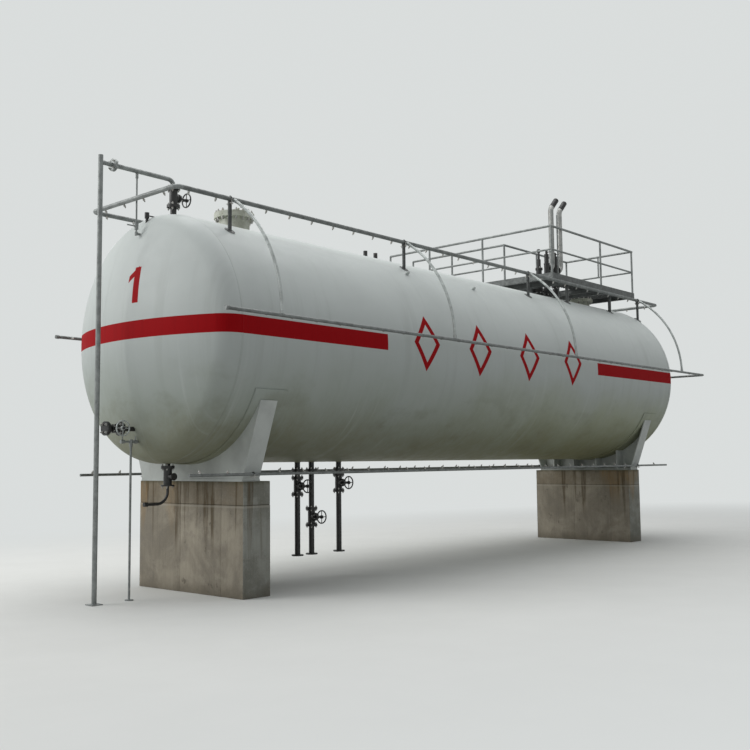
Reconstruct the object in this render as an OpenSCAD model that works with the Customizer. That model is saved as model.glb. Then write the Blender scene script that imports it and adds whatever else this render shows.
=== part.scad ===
// Horizontal pressure tank on two steel saddles and concrete piers, with its
// spray water frame, relief stacks, access platform, vent line and bottom lines.
// Lengths are in millimetres. X runs along the tank with the numbered head at
// low X, the near side is at low Y, and Z starts at the ground.

/* [Tank] */
// outside diameter of the shell
shell_d = 3040; // [2600:20:3600]
// shell length between the two head welds
shell_len = 10840; // [9400:20:13000]
// plate thickness of shell and heads
plate_t = 20; // [12:1:40]
// outside crown radius of each dished head
head_crown = 3040; // [2500:20:3600]
// outside knuckle radius of each dished head
head_knuckle = 304; // [260:2:420]

/* [Saddles and piers] */
// height of each concrete pier
pier_h = 1360; // [900:10:1800]
// pier size across the tank
pier_w = 2060; // [1900:10:2600]
// pier size along the tank
pier_t = 420; // [340:10:700]
// distance from pier top to the bottom of the shell
saddle_drop = 220; // [200:5:400]
// distance from a head weld to the middle of its saddle
saddle_in = 570; // [400:10:1500]
// length of a saddle base plate across the tank
base_len = 2000; // [1600:10:2040]
// width of a saddle base plate along the tank
base_w = 280; // [240:5:340]
// thickness of a saddle base plate
base_t = 30; // [16:1:50]
// thickness of the saddle web and ribs
rib_t = 20; // [10:1:30]
// half of the angle that a saddle wraps
saddle_half = 59; // [50:1:65]
// thickness of the wear plate between shell and saddle
wear_t = 14; // [8:1:20]
// width of the wear plate along the tank
wear_w = 490; // [360:10:800]
// wear plate beyond the saddle horn, as an angle
wear_over = 5; // [2:1:10]

/* [Manholes] */
// distance from the front head weld to the front manhole
manhole_x = 1140; // [900:10:1600]
// outside diameter of the front manhole neck
manhole_neck_d = 406; // [340:2:430]
// outside diameter of the front manhole flange
manhole_flange_d = 530; // [500:5:640]
// height of the front manhole flange face above the crown
manhole_h = 200; // [180:2:400]
// thickness of the front manhole flange and of its cover
manhole_flange_t = 36; // [20:2:60]
// distance from the rear head weld to the rear manhole
rear_manhole_in = 640; // [500:10:900]
// outside diameter of the rear manhole neck
rear_neck_d = 324; // [250:2:360]
// outside diameter of the rear manhole flange
rear_flange_d = 445; // [420:5:520]
// height of the rear manhole flange face above the crown
rear_manhole_h = 130; // [100:2:150]
// thickness of the rear manhole flange and of its cover
rear_flange_t = 28; // [16:1:34]

/* [Spray frame] */
// outside diameter of the overhead spray pipes
header_d = 57; // [42:1:76]
// distance of each overhead pipe from the tank's middle plane
header_y = 863; // [800:1:1000]
// height of the overhead pipes above the crown
header_rise = 128; // [100:1:180]
// overhead pipes beyond the front head weld
header_front = 440; // [300:10:700]
// overhead pipes beyond the rear head weld
header_rear = 950; // [850:10:1200]
// outside diameter of the header posts
post_d = 48; // [34:1:60]
// first post from the front head weld
post_1 = 350; // [250:10:700]
// second post from the front head weld
post_2 = 3600; // [3200:10:4000]
// third post from the front head weld
post_3 = 6890; // [6500:10:7200]
// fourth post from the rear head weld, towards the rear
post_4_over = 70; // [40:5:120]
// outside diameter of the curved branch pipes
branch_d = 38; // [27:1:48]
// distance from a post to its branch pipe
branch_off = 52; // [50:1:120]
// bend radius of the curved branches beyond the shell radius
branch_off_shell = 230; // [200:5:400]
// outside diameter of the middle spray pipes
mid_d = 42; // [27:1:60]
// distance of the middle spray pipes from the shell
mid_off = 207; // [150:1:300]
// height of the middle spray pipes above the tank's centre line
mid_rise = 146; // [100:1:200]
// front end of the middle and low pipes, before the front head weld
mid_front = 410; // [200:10:600]
// rear cross pipe beyond the rear head weld
mid_rear = 1150; // [1100:10:1400]
// outside diameter of the low spray pipes
low_d = 34; // [21:1:48]
// gap between a saddle base and the low spray pipe
low_gap = 83; // [60:1:120]
// height of the low spray pipes above the pier tops
low_rise = 85; // [60:1:110]
// low spray pipes beyond the rear head weld
low_rear = 620; // [300:10:900]

/* [Platform] */
// platform length along the tank
deck_len = 3120; // [3000:10:3600]
// platform rear edge beyond the rear head weld
deck_over = 80; // [20:5:120]
// near edge of the platform from the middle plane
deck_near = 800; // [780:1:805]
// far edge of the platform from the middle plane
deck_far = 750; // [740:1:805]
// height of the walking surface above the crown
deck_rise = 286; // [280:1:400]
// depth of the platform's edge channels
channel_h = 110; // [80:1:112]
// width of the channel flanges
channel_w = 48; // [40:1:60]
// thickness of the channel web and flanges
channel_t = 7; // [5:1:9]
// depth of the bar grating
grating_h = 30; // [20:1:40]
// thickness of the grating bars
bar_t = 10; // [6:1:14]
// spacing of the grating bars
bar_pitch = 78; // [60:2:120]
// outside diameter of the platform legs
leg_d = 60; // [42:1:70]
// front legs from the platform's front edge
leg_in_front = 560; // [400:10:580]
// rear legs from the platform's rear edge
leg_in_rear = 960; // [700:10:1100]
// height of the guardrails above the deck
rail_h = 850; // [800:10:1200]
// outside diameter of the guardrail tubes
rail_d = 42; // [34:1:48]
// outside diameter of the guardrail posts
rail_post_d = 38; // [30:1:40]
// outer edge of the catwalk from the middle plane
catwalk_end = 3050; // [2600:10:3400]
// width of the catwalk
catwalk_w = 780; // [680:10:900]

/* [Stacks and valves on top] */
// outside diameter of a relief stack
stack_d = 102; // [76:1:104]
// front relief stack from the platform's front edge
stack_in = 1320; // [1260:10:1400]
// spacing of the two relief stacks
stack_gap = 310; // [300:5:340]
// distance from a relief valve to its stack
stack_out = 200; // [190:5:205]
// height of the relief valve outlets above the crown
relief_h = 630; // [600:5:700]
// height of the straight part of a stack above the crown
stack_h = 1770; // [1500:10:2200]
// bend radius of the stack tops
stack_bend = 150; // [120:5:250]
// length of the slanted stack mouth
stack_mouth = 230; // [150:10:350]
// outside diameter of the level pipe between the stacks
level_d = 27; // [20:1:34]
// height of the level pipe above the crown
level_h = 1680; // [1300:10:2000]
// distance of the level pipe from the middle plane
level_y = 130; // [115:1:140]
// middle of the stop valves under the deck, above the crown
stop_rise = 193; // [180:1:240]
// half of the length of a stop valve with its flange pairs
stop_half = 133; // [120:1:140]
// body diameter of a relief valve
relief_body_d = 104; // [90:1:108]
// diameter of the ball on top of the upright valve
ball_d = 80; // [50:2:100]
// upright valve from the platform's front edge
deck_valve_in = 840; // [800:10:860]
// height of the upright valve above the crown
deck_valve_h = 960; // [860:10:1040]

/* [Vent line] */
// vent nozzle from the front head weld
vent_x = 160; // [120:5:200]
// outside diameter of the vent pipes
vent_d = 57; // [42:1:60]
// height of the vent line above the crown
vent_rise = 490; // [480:5:700]
// clearance between the front head valve and the riser
riser_gap = 75; // [60:5:300]
// flanged joint of the vent line behind the riser
joint_in = 170; // [120:5:300]
// riser top above the vent line
riser_top = 85; // [70:5:200]
// flange diameter of the small valves
valve_flange_d = 165; // [150:1:180]
// flange thickness of the small valves
valve_flange_t = 18; // [14:1:24]
// length of a small valve between its flange faces
valve_len = 230; // [210:2:260]
// length of a valve stem from the pipe axis to the wheel
stem_len = 200; // [190:5:260]
// diameter of a valve stem
stem_d = 20; // [16:1:26]
// outside diameter of a small handwheel
wheel_d = 190; // [160:5:240]
// thickness of a handwheel rim
wheel_rim = 18; // [14:1:24]
// first capped fitting on the crown, from the front head weld
crown_fitting_x = 3720; // [3300:10:4200]
// distance between the two capped fittings
crown_fitting_gap = 230; // [120:5:400]
// height of the two capped fittings above the crown
crown_fitting_h = 150; // [100:5:220]
// lever valve on the head, before the front head weld
head_fitting_out = 230; // [210:5:250]
// height of the lever valve above the head
head_fitting_h = 110; // [90:5:160]
// gauge pipe before the front head weld
gauge_out = 380; // [370:5:390]
// outside diameter of the gauge pipe
gauge_d = 21; // [17:1:27]
// depth of the gauge nozzle below the crown
gauge_drop = 280; // [240:5:330]

/* [Front head and bottom lines] */
// length of the front head valve between its flange faces
head_valve_len = 190; // [170:2:200]
// depth of the front head valve below the centre line
head_valve_drop = 1110; // [1000:10:1150]
// length of the nozzle between the front head and its valve
head_valve_out = 190; // [180:5:220]
// drip pipe before the front head weld
drip_out = 420; // [410:5:440]
// depth of the drip pipe's nozzle below the centre line
drip_drop = 1260; // [1230:5:1290]
// outside diameter of the drip pipe
drip_d = 27; // [21:1:34]
// depth of the drain valve below the shell
drain_drop = 160; // [145:5:300]
// drain line behind the front head weld
drain_x = 110; // [90:5:130]
// outside diameter of the thin drain pipe
drain_d = 34; // [27:1:48]
// bend radius of the thin drain pipe
drain_bend = 150; // [100:5:170]
// end of the drain pipe before the front head weld
drain_out = 230; // [180:5:300]
// first bottom line from the front head weld
bottom_1 = 2280; // [2000:10:2300]
// second bottom line after the first
bottom_2_gap = 270; // [250:10:330]
// third bottom line after the second
bottom_3_gap = 550; // [500:10:800]
// depth of the first bottom line's valve below the shell
bottom_valve_1 = 330; // [300:5:420]
// depth of the second bottom line's valve below the shell
bottom_valve_2 = 760; // [700:5:800]
// depth of the third bottom line's valve below the shell
bottom_valve_3 = 300; // [295:5:400]
// outside diameter of the bottom lines
bottom_d = 76; // [60:1:89]
// wall thickness of the bottom lines
bottom_t = 8; // [5:1:12]
// height of the bottom line outlets above the ground
outlet_h = 300; // [200:10:500]
// depth of the bore in an outlet
outlet_bore = 200; // [100:10:300]
// bolt circle of an outlet flange
outlet_pcd = 125; // [120:1:130]
// bolt hole diameter of an outlet flange
outlet_hole_d = 18; // [14:1:20]

/* [Hidden] */
$fn = 72;
seat = 0.3;
over = 1;
handle_d = 20;
handle_half = 75;
handle_h = 62;
shell_r = shell_d / 2;
bottom_z = -shell_r;
axis_z = pier_h + saddle_drop + shell_r;
ground_z = -axis_z;
pier_top = -shell_r - saddle_drop;
knuckle_in = shell_r - head_knuckle;
crown_in = head_crown - head_knuckle;
crown_drop = sqrt(crown_in * crown_in - knuckle_in * knuckle_in);
head_depth = head_crown - crown_drop;
joint_r = knuckle_in * head_crown / crown_in;
saddle_x = [saddle_in, shell_len - saddle_in];
pier_shift = (pier_t - base_w) / 2;
wear_r0 = shell_r + seat;
wear_r1 = wear_r0 + wear_t;
horn_r = wear_r1 + seat;
base_top = pier_top + base_t;
horn_y = (horn_r + 10) * sin(saddle_half);
horn_z = -(horn_r + 10) * cos(saddle_half);
rib_w = base_w - 20;

header_z = shell_r + header_rise;
header_bend = 1.5 * header_d;
header_x0 = -header_front;
header_x1 = shell_len + header_rear;
post_x = [post_1, post_2, post_3, shell_len + post_4_over];
pad_d = 2.6 * post_d;
pad_t = 10;
mid_y = shell_r + mid_off;
mid_z = mid_rise;
mid_bend = 1.5 * mid_d;
mid_cap_d = mid_d + 8;
mid_x0 = -mid_front;
mid_x1 = shell_len + mid_rear;
low_y = base_len / 2 + low_gap + low_d / 2;
low_z = pier_top + low_rise;
low_x1 = shell_len + low_rear;
branch_r = shell_r + branch_off_shell;
chord_y = mid_y - header_y;
chord_z = header_z - mid_z;
chord = sqrt(chord_y * chord_y + chord_z * chord_z);
chord_h = sqrt(branch_r * branch_r - chord * chord / 4);
branch_cy = (header_y + mid_y) / 2 - chord_h * chord_z / chord;
branch_cz = (header_z + mid_z) / 2 - chord_h * chord_y / chord;
branch_a0 = atan2(header_z - branch_cz, header_y - branch_cy);
branch_a1 = atan2(mid_z - branch_cz, mid_y - branch_cy);

deck_x1 = shell_len + deck_over;
deck_x0 = deck_x1 - deck_len;
deck_z = shell_r + deck_rise;
channel_z = deck_z - channel_h;
grating_z = deck_z - grating_h;
rail_z = deck_z + rail_h;
rail_mid_z = deck_z + rail_h / 2;
rail_in = rail_d / 2 + 3;
rail_foot = deck_z + seat;
rail_x0 = deck_x0 + rail_in;
rail_x1 = deck_x1 - rail_in;
rail_near_y = -deck_near + rail_in;
rail_far_y = deck_far - rail_in;
catwalk_x1 = deck_x0 + catwalk_w;
catwalk_rail_x = catwalk_x1 - rail_in;
leg_x = [deck_x0 + leg_in_front, deck_x1 - leg_in_rear];
stack_1 = deck_x0 + stack_in;
stack_x = [stack_1, stack_1 + stack_gap];
deck_valve_x = deck_x0 + deck_valve_in;
relief_x = [stack_1 - stack_out, stack_1 + stack_gap - stack_out];
outlet_face = 72;
well_x0 = deck_valve_x - 130;
well_x1 = stack_1 + stack_gap + 130;
well_y = 160;
valve_body_d = 0.62 * valve_flange_d;
bonnet_d = 0.66 * valve_flange_d;
hub_d = 2.4 * stem_d;
hub_t = 26;
bend_gap = 20;
joint_flange_d = 2.6 * vent_d;
cope = 60;
hub_bore_d = stem_d + 2 * seat;
head_valve_z = -head_valve_drop;
head_valve_face = dish(head_valve_drop);
head_valve_x = -head_valve_face - head_valve_out - head_valve_len / 2;
vent_z = shell_r + vent_rise;
vent_bend = 1.5 * vent_d;
vent_valve_z = vent_z - vent_bend - bend_gap - valve_len / 2;
riser_x = head_valve_x - head_valve_len / 2 - valve_flange_t - riser_gap - vent_d / 2;
joint_x = riser_x + joint_in;
gauge_x = -gauge_out;
head_fitting_x = -head_fitting_out;
head_fitting_drop = head_knuckle - sqrt(head_knuckle * head_knuckle - head_fitting_out * head_fitting_out);
drip_x = -drip_out;
bottom_x = [bottom_1, bottom_1 + bottom_2_gap, bottom_1 + bottom_2_gap + bottom_3_gap];
bottom_valve_z = [bottom_z - bottom_valve_1, bottom_z - bottom_valve_2, bottom_z - bottom_valve_3];
nozzle_h = 130;
outlet_z = ground_z + outlet_h;
riser_foot = 140;
foot_t = 12;
drip_tail = 140;
cock_len = 46;
x_low = riser_x - riser_foot / 2;
x_high = mid_x1 + mid_d / 2;
y_low = -mid_y - mid_cap_d / 2;
x_mid = (x_low + x_high) / 2;
y_mid = (y_low + catwalk_end) / 2;

// depth of the dished head at a distance from its axis inside the knuckle
function dish(r) = sqrt(head_crown * head_crown - r * r) - crown_drop;

// moves a piece from the tank's own frame, at the front head weld on the
// centre line, to the ground under the middle of the whole plant
module in_place() {
  translate([-x_mid, -y_mid, axis_z])
    children();
}

// round bar along X, Y or Z
module bar_x(x0, x1, y, z, d) {
  translate([x0, y, z])
    rotate([0, 90, 0])
      cylinder(h = x1 - x0, d = d);
}

module bar_y(y0, y1, x, z, d) {
  translate([x, y0, z])
    rotate([-90, 0, 0])
      cylinder(h = y1 - y0, d = d);
}

module bar_z(z0, z1, x, y, d) {
  translate([x, y, z0])
    cylinder(h = z1 - z0, d = d);
}

// turns a profile drawn in the cross section into a plate along the tank
module section(x0, x1) {
  translate([x0, 0, 0])
    rotate([90, 0, 90])
      linear_extrude(height = x1 - x0)
        children();
}

// the space that the shell fills, with room for a seat
module shell_space() {
  round_space(-over, shell_len + over, shell_d + 2 * seat);
}

// round space round the tank's own axis
module round_space(x0, x1, d) {
  translate([x0, 0, 0])
    rotate([0, 90, 0])
      cylinder(h = x1 - x0, d = d, $fn = 360);
}

// half of a dished head's outline, grown on all sides by the room given
module dish_profile(room) {
  intersection() {
    translate([0, -crown_drop])
      circle(r = head_crown + room, $fn = 720);
    square([joint_r, head_depth + over]);
  }
  intersection() {
    translate([knuckle_in, 0])
      circle(r = head_knuckle + room, $fn = 144);
    square([shell_r + over, head_depth]);
  }
}

module dish_solid(room) {
  rotate([0, -90, 0])
    rotate_extrude($fn = 360)
      dish_profile(room);
}

module head_body() {
  rotate([0, -90, 0])
    rotate_extrude($fn = 360)
      difference() {
        dish_profile(0);
        dish_profile(-plate_t);
      }
}

module shell() {
  color("gainsboro")
    in_place()
      difference() {
        bar_x(0, shell_len, 0, 0, shell_d);
        bar_x(-over, shell_len + over, 0, 0, shell_d - 2 * plate_t);
      }
}

module front_head() {
  color("whitesmoke")
    in_place()
      head_body();
}

module rear_head() {
  color("whitesmoke")
    in_place()
      translate([shell_len, 0, 0])
        rotate([0, 0, 180])
          head_body();
}

// curved plate under the shell at each saddle
module wear_plate(x) {
  a = saddle_half + wear_over;
  translate([x - wear_w / 2, 0, 0])
    rotate([90, 0, 90])
      rotate([0, 0, -90 - a])
        rotate_extrude(angle = 2 * a)
          translate([wear_r0, 0])
            square([wear_t, wear_w]);
}

module wear_plates() {
  color("lightgray")
    in_place()
      for (x = saddle_x)
        wear_plate(x);
}

// outer edge of the saddle from base plate to horn
function rib_y(z) = base_len / 2 + (horn_y - base_len / 2) * (z - base_top) / (horn_z - base_top);

module web_outline() {
  polygon([
    [-base_len / 2, base_top - over],
    [base_len / 2, base_top - over],
    [base_len / 2, base_top],
    [horn_y, horn_z],
    [-horn_y, horn_z],
    [-base_len / 2, base_top]
  ]);
}

module end_rib_outline() {
  polygon([
    [base_len / 2 - rib_t, base_top - over],
    [base_len / 2, base_top - over],
    [base_len / 2, base_top],
    [horn_y, horn_z],
    [horn_y - rib_t, horn_z],
    [base_len / 2 - rib_t, base_top]
  ]);
}

// base plate, a web on the tank's end side and ribs behind it
module saddle(x, end) {
  web_x = x + end * (rib_w - rib_t) / 2;
  difference() {
    union() {
      translate([x - base_w / 2, -base_len / 2, pier_top])
        cube([base_w, base_len, base_t]);
      section(web_x - rib_t / 2, web_x + rib_t / 2)
        web_outline();
      section(x - rib_w / 2, x + rib_w / 2)
        end_rib_outline();
      section(x - rib_w / 2, x + rib_w / 2)
        mirror([1, 0])
          end_rib_outline();
      for (y = [-0.7, -0.25, 0.25, 0.7])
        translate([x - rib_w / 2, y * base_len / 2 - rib_t / 2, base_top - over])
          cube([rib_w, rib_t, horn_z - base_top]);
    }
    bar_x(x - base_w, x + base_w, 0, 0, 2 * horn_r);
  }
}

module front_saddle() {
  color("silver")
    in_place()
      saddle(saddle_x[0], -1);
}

module rear_saddle() {
  color("silver")
    in_place()
      saddle(saddle_x[1], 1);
}

module pier(x) {
  translate([x - pier_t / 2, -pier_w / 2, ground_z])
    cube([pier_t, pier_w, pier_h]);
}

module front_pier() {
  color("tan")
    in_place()
      pier(saddle_x[0] + pier_shift);
}

module rear_pier() {
  color("tan")
    in_place()
      pier(saddle_x[1] - pier_shift);
}

// neck coped to the shell with a flat flange on top
module crown_neck(x, neck_d, face, flange_d, flange_t) {
  difference() {
    union() {
      bar_z(shell_r - 120, shell_r + face, x, 0, neck_d);
      bar_z(shell_r + face - flange_t, shell_r + face, x, 0, flange_d);
    }
    shell_space();
  }
}

module front_manhole() {
  color("whitesmoke")
    in_place()
      crown_neck(manhole_x, manhole_neck_d, manhole_h, manhole_flange_d, manhole_flange_t);
}

// flat cover with a raised middle and a lifting handle
module front_manhole_cover() {
  face = shell_r + manhole_h;
  top = face + manhole_flange_t;
  color("lightgray")
    in_place() {
      bar_z(face, top, manhole_x, 0, manhole_flange_d);
      bar_z(face, top + 8, manhole_x, 0, manhole_neck_d - 40);
      for (y = [-handle_half, handle_half])
        bar_z(top, top + handle_h, manhole_x, y, handle_d);
      bar_y(-handle_half - handle_d, handle_half + handle_d, manhole_x, top + handle_h, handle_d + 4);
    }
}

module rear_manhole() {
  x = shell_len - rear_manhole_in;
  face = rear_manhole_h;
  color("whitesmoke")
    in_place() {
      crown_neck(x, rear_neck_d, face, rear_flange_d, rear_flange_t);
      bar_z(shell_r + face, shell_r + face + rear_flange_t, x, 0, rear_flange_d);
    }
}

// gate valve on a pipe along Z, with its stem along X
module gate_valve(len) {
  cylinder(h = len, d = valve_body_d, center = true);
  for (s = [-1, 1])
    translate([0, 0, s * (len - valve_flange_t) / 2])
      cylinder(h = valve_flange_t, d = valve_flange_d, center = true);
  rotate([0, 90, 0]) {
    cylinder(h = 0.5 * stem_len, d = 0.8 * bonnet_d);
    translate([0, 0, 0.34 * stem_len])
      cylinder(h = 20, d = bonnet_d);
    cylinder(h = stem_len - hub_t / 2 - seat, d = 1.7 * stem_d);
    cylinder(h = stem_len + hub_t, d = stem_d);
    translate([0, 0, stem_len + hub_t / 2 + seat])
      cylinder(h = 12, d = 1.6 * stem_d, $fn = 6);
  }
}

// spoked handwheel round the X axis, its hub centred at the origin
module handwheel() {
  rotate([0, 90, 0])
    difference() {
      union() {
        rotate_extrude()
          translate([(wheel_d - wheel_rim) / 2, 0])
            circle(d = wheel_rim, $fn = 24);
        cylinder(h = hub_t, d = hub_d, center = true);
        for (a = [0 : 90 : 270])
          rotate([0, 90, a])
            cylinder(h = (wheel_d - wheel_rim) / 2, d = 0.6 * wheel_rim, $fn = 24);
      }
      cylinder(h = hub_t + 2 * over, d = hub_bore_d, center = true);
    }
}

// vent nozzle on the crown and its gate valve
module vent_valve() {
  color("dimgray")
    in_place() {
      difference() {
        union() {
          bar_z(shell_r - 40, vent_valve_z - valve_len / 2 + over, vent_x, 0, vent_d + 20);
          bar_z(vent_valve_z - valve_len / 2 - valve_flange_t, vent_valve_z - valve_len / 2, vent_x, 0,
            valve_flange_d);
        }
        shell_space();
      }
      translate([vent_x, 0, vent_valve_z])
        gate_valve(valve_len);
    }
}

module vent_wheel() {
  color("darkslategray")
    in_place()
      translate([vent_x + stem_len, 0, vent_valve_z])
        handwheel();
}

module vent_line() {
  color("gray")
    in_place() {
      bar_z(vent_valve_z + valve_len / 2, vent_z - vent_bend, vent_x, 0, vent_d);
      bar_z(vent_valve_z + valve_len / 2, vent_valve_z + valve_len / 2 + valve_flange_t, vent_x, 0,
        valve_flange_d);
      translate([vent_x - vent_bend, 0, vent_z - vent_bend])
        rotate([90, 0, 0])
          rotate_extrude(angle = 90)
            translate([vent_bend, 0])
              circle(d = vent_d);
      bar_x(joint_x, vent_x - vent_bend, 0, vent_z, vent_d);
      bar_x(joint_x, joint_x + valve_flange_t, 0, vent_z, joint_flange_d);
    }
}

module riser() {
  color("gray")
    in_place() {
      bar_z(ground_z, vent_z + riser_top, riser_x, 0, vent_d);
      bar_x(riser_x, joint_x, 0, vent_z, vent_d - 4);
      bar_x(joint_x - valve_flange_t, joint_x, 0, vent_z, joint_flange_d);
      translate([riser_x - riser_foot / 2, -riser_foot / 2, ground_z])
        cube([riser_foot, riser_foot, foot_t]);
    }
}

// thin pipe from the vent line down to a small lever valve on the head
module gauge_line() {
  top = vent_z - vent_d / 2 - seat;
  low = shell_r - gauge_drop;
  color("gray")
    in_place()
      difference() {
        union() {
          bar_z(low - gauge_d, top, gauge_x, 0, gauge_d);
          bar_z(top - cope, top, gauge_x, 0, 1.7 * gauge_d);
          bar_z(low - gauge_d, low + gauge_d, gauge_x, 0, 1.8 * gauge_d);
          bar_z(low + 2.4 * gauge_d, low + 6.2 * gauge_d, gauge_x, 0, 2.4 * gauge_d);
          bar_x(gauge_x - 6.2 * gauge_d, gauge_x, 0, low + 4.3 * gauge_d, 0.8 * gauge_d);
          bar_x(gauge_x, 0, 0, low, 1.4 * gauge_d);
        }
        dish_solid(seat);
      }
}

// two small capped fittings on the crown and a lever valve on the head
module top_fittings() {
  low = shell_r - head_fitting_drop;
  color("dimgray")
    in_place() {
      for (x = [crown_fitting_x, crown_fitting_x + crown_fitting_gap])
        difference() {
          union() {
            bar_z(shell_r - 40, shell_r + 0.7 * crown_fitting_h, x, 0, 34);
            bar_z(shell_r + 0.45 * crown_fitting_h, shell_r + crown_fitting_h, x, 0, 62);
          }
          shell_space();
        }
      difference() {
        union() {
          bar_z(0, low + 0.5 * head_fitting_h, head_fitting_x, 0, 34);
          bar_z(low + 0.36 * head_fitting_h, low + head_fitting_h, head_fitting_x, 0, 56);
          bar_x(head_fitting_x, head_fitting_x + 1.2 * head_fitting_h, 0, low + 0.68 * head_fitting_h, 16);
        }
        dish_solid(seat);
      }
    }
}

module header_near() {
  color("gray")
    in_place()
      bar_x(header_x0 + header_bend, header_x1 - header_bend, -header_y, header_z, header_d);
}

module header_far() {
  color("gray")
    in_place()
      bar_x(header_x0 + header_bend, header_x1 - header_bend, header_y, header_z, header_d);
}

// cross pipe with a quarter bend at each end, turned towards higher X
module cross_pipe(x, half, z, bend, d) {
  bar_y(-half + bend, half - bend, x, z, d);
  translate([x + bend, half - bend, z])
    rotate([0, 0, 90])
      rotate_extrude(angle = 90)
        translate([bend, 0])
          circle(d = d);
  translate([x + bend, -half + bend, z])
    rotate([0, 0, 180])
      rotate_extrude(angle = 90)
        translate([bend, 0])
          circle(d = d);
}

module header_front() {
  color("gray")
    in_place()
      cross_pipe(header_x0, header_y, header_z, header_bend, header_d);
}

module header_rear() {
  color("gray")
    in_place()
      translate([header_x1, 0, 0])
        rotate([0, 0, 180])
          cross_pipe(0, header_y, header_z, header_bend, header_d);
}

// post with a pad on the shell and a half collar under the overhead pipe
module header_post(x, side) {
  difference() {
    union() {
      bar_z(0, header_z, x, side * header_y, post_d);
      intersection() {
        bar_z(0, header_z, x, side * header_y, pad_d);
        round_space(x - pad_d, x + pad_d, shell_d + 2 * seat + 2 * pad_t);
      }
    }
    shell_space();
    translate([shell_len, 0, 0])
      rotate([0, 0, 180])
        dish_solid(seat);
    bar_x(x - pad_d, x + pad_d, side * header_y, header_z, header_d + 2 * seat);
  }
}

module header_posts() {
  color("dimgray")
    in_place()
      for (x = post_x)
        for (side = [-1, 1])
          header_post(x, side);
}

// branch pipe that follows the shell from overhead pipe to middle pipe
module branch(x, side) {
  difference() {
    translate([x, 0, 0])
      rotate([90, 0, 90])
        mirror([side < 0 ? 1 : 0, 0, 0])
          translate([branch_cy, branch_cz, 0])
            rotate([0, 0, branch_a1])
              rotate_extrude(angle = branch_a0 - branch_a1, $fn = 360)
                translate([branch_r, 0])
                  circle(d = branch_d);
    bar_x(x - 100, x + 100, side * header_y, header_z, header_d + 2 * seat);
    bar_x(x - 100, x + 100, side * mid_y, mid_z, mid_d + 2 * seat);
  }
}

module branches_near() {
  color("slategray")
    in_place()
      for (x = post_x)
        branch(x + branch_off, -1);
}

module branches_far() {
  color("slategray")
    in_place()
      for (x = post_x)
        branch(x + branch_off, 1);
}

module mid_pipe(side) {
  bar_x(mid_x0, mid_x1 - mid_bend, side * mid_y, mid_z, mid_d);
  bar_x(mid_x0 - 12, mid_x0 + 30, side * mid_y, mid_z, mid_cap_d);
}

module mid_pipe_near() {
  color("slategray")
    in_place()
      mid_pipe(-1);
}

module mid_pipe_far() {
  color("slategray")
    in_place()
      mid_pipe(1);
}

module mid_pipe_rear() {
  color("slategray")
    in_place()
      translate([mid_x1, 0, 0])
        rotate([0, 0, 180])
          cross_pipe(0, mid_y, mid_z, mid_bend, mid_d);
}

// low spray pipe with a clip to each saddle
module low_pipe(side) {
  clip_h = 24;
  clip_y = rib_y(low_z + clip_h / 2) + seat;
  bar_x(mid_x0, low_x1, side * low_y, low_z, low_d);
  for (x = saddle_x)
    translate([x - 25, side > 0 ? clip_y : -low_y, low_z - clip_h / 2])
      cube([50, low_y - clip_y, clip_h]);
}

module low_pipe_near() {
  color("slategray")
    in_place()
      low_pipe(-1);
}

module low_pipe_far() {
  color("slategray")
    in_place()
      low_pipe(1);
}

// channel profile with its web at the origin and flanges towards +X
module channel_profile() {
  square([channel_t, channel_h]);
  square([channel_w, channel_t]);
  translate([0, channel_h - channel_t])
    square([channel_w, channel_t]);
}

// channel along Y with its flanges towards higher X
module channel_y(y0, y1, x) {
  translate([x, y1, channel_z])
    rotate([90, 0, 0])
      linear_extrude(height = y1 - y0)
        channel_profile();
}

// channel along X with its flanges towards higher Y
module channel_x(x0, x1, y) {
  translate([x0, y, channel_z])
    rotate([90, 0, 90])
      linear_extrude(height = x1 - x0)
        channel_profile();
}

// ring of edge channels with cross bars under the grating
module frame_ring(x0, x1, y0, y1, cross) {
  channel_y(y0, y1, x0);
  translate([x1 + x0, 0, 0])
    mirror([1, 0, 0])
      channel_y(y0, y1, x0);
  channel_x(x0, x1, y0);
  translate([0, y1 + y0, 0])
    mirror([0, 1, 0])
      channel_x(x0, x1, y0);
  for (x = cross)
    translate([x - 20, y0 + over, channel_z])
      cube([40, y1 - y0 - 2 * over, channel_h - channel_t - grating_h - seat]);
}

module platform_frame() {
  color("dimgray")
    in_place()
      difference() {
        frame_ring(deck_x0, deck_x1, -deck_near, deck_far, [leg_x[0], leg_x[1], well_x0 - 30, well_x1 + 30]);
        translate([well_x0, -well_y, channel_z - over])
          cube([well_x1 - well_x0, 2 * well_y, channel_h + 2 * over]);
      }
}

module platform_legs() {
  color("dimgray")
    in_place()
      for (x = leg_x)
        for (y = [-deck_near + channel_w, deck_far - channel_w])
          difference() {
            union() {
              bar_z(0, channel_z - seat, x, y, leg_d);
              intersection() {
                bar_z(0, channel_z - seat, x, y, 2.2 * leg_d);
                round_space(x - 2 * leg_d, x + 2 * leg_d, shell_d + 2 * seat + 2 * pad_t);
              }
            }
            shell_space();
          }
}

// flat grating with slots between its bars
module grating(x0, x1, y0, y1) {
  count = floor((x1 - x0 - bar_t) / bar_pitch);
  step = (x1 - x0 - bar_t) / count;
  difference() {
    translate([x0, y0, grating_z])
      cube([x1 - x0, y1 - y0, grating_h - channel_t - seat]);
    for (i = [0 : count - 1])
      translate([x0 + bar_t + i * step, y0 + bar_t, grating_z - over])
        cube([step - bar_t, y1 - y0 - 2 * bar_t, grating_h + 2 * over]);
  }
}

module platform_grating() {
  color("gray")
    in_place()
      difference() {
        grating(deck_x0 + channel_t + seat, deck_x1 - channel_t - seat,
          -deck_near + channel_t + seat, deck_far - channel_t - seat);
        translate([well_x0, -well_y, grating_z - over])
          cube([well_x1 - well_x0, 2 * well_y, grating_h + 2 * over]);
      }
}

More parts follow.
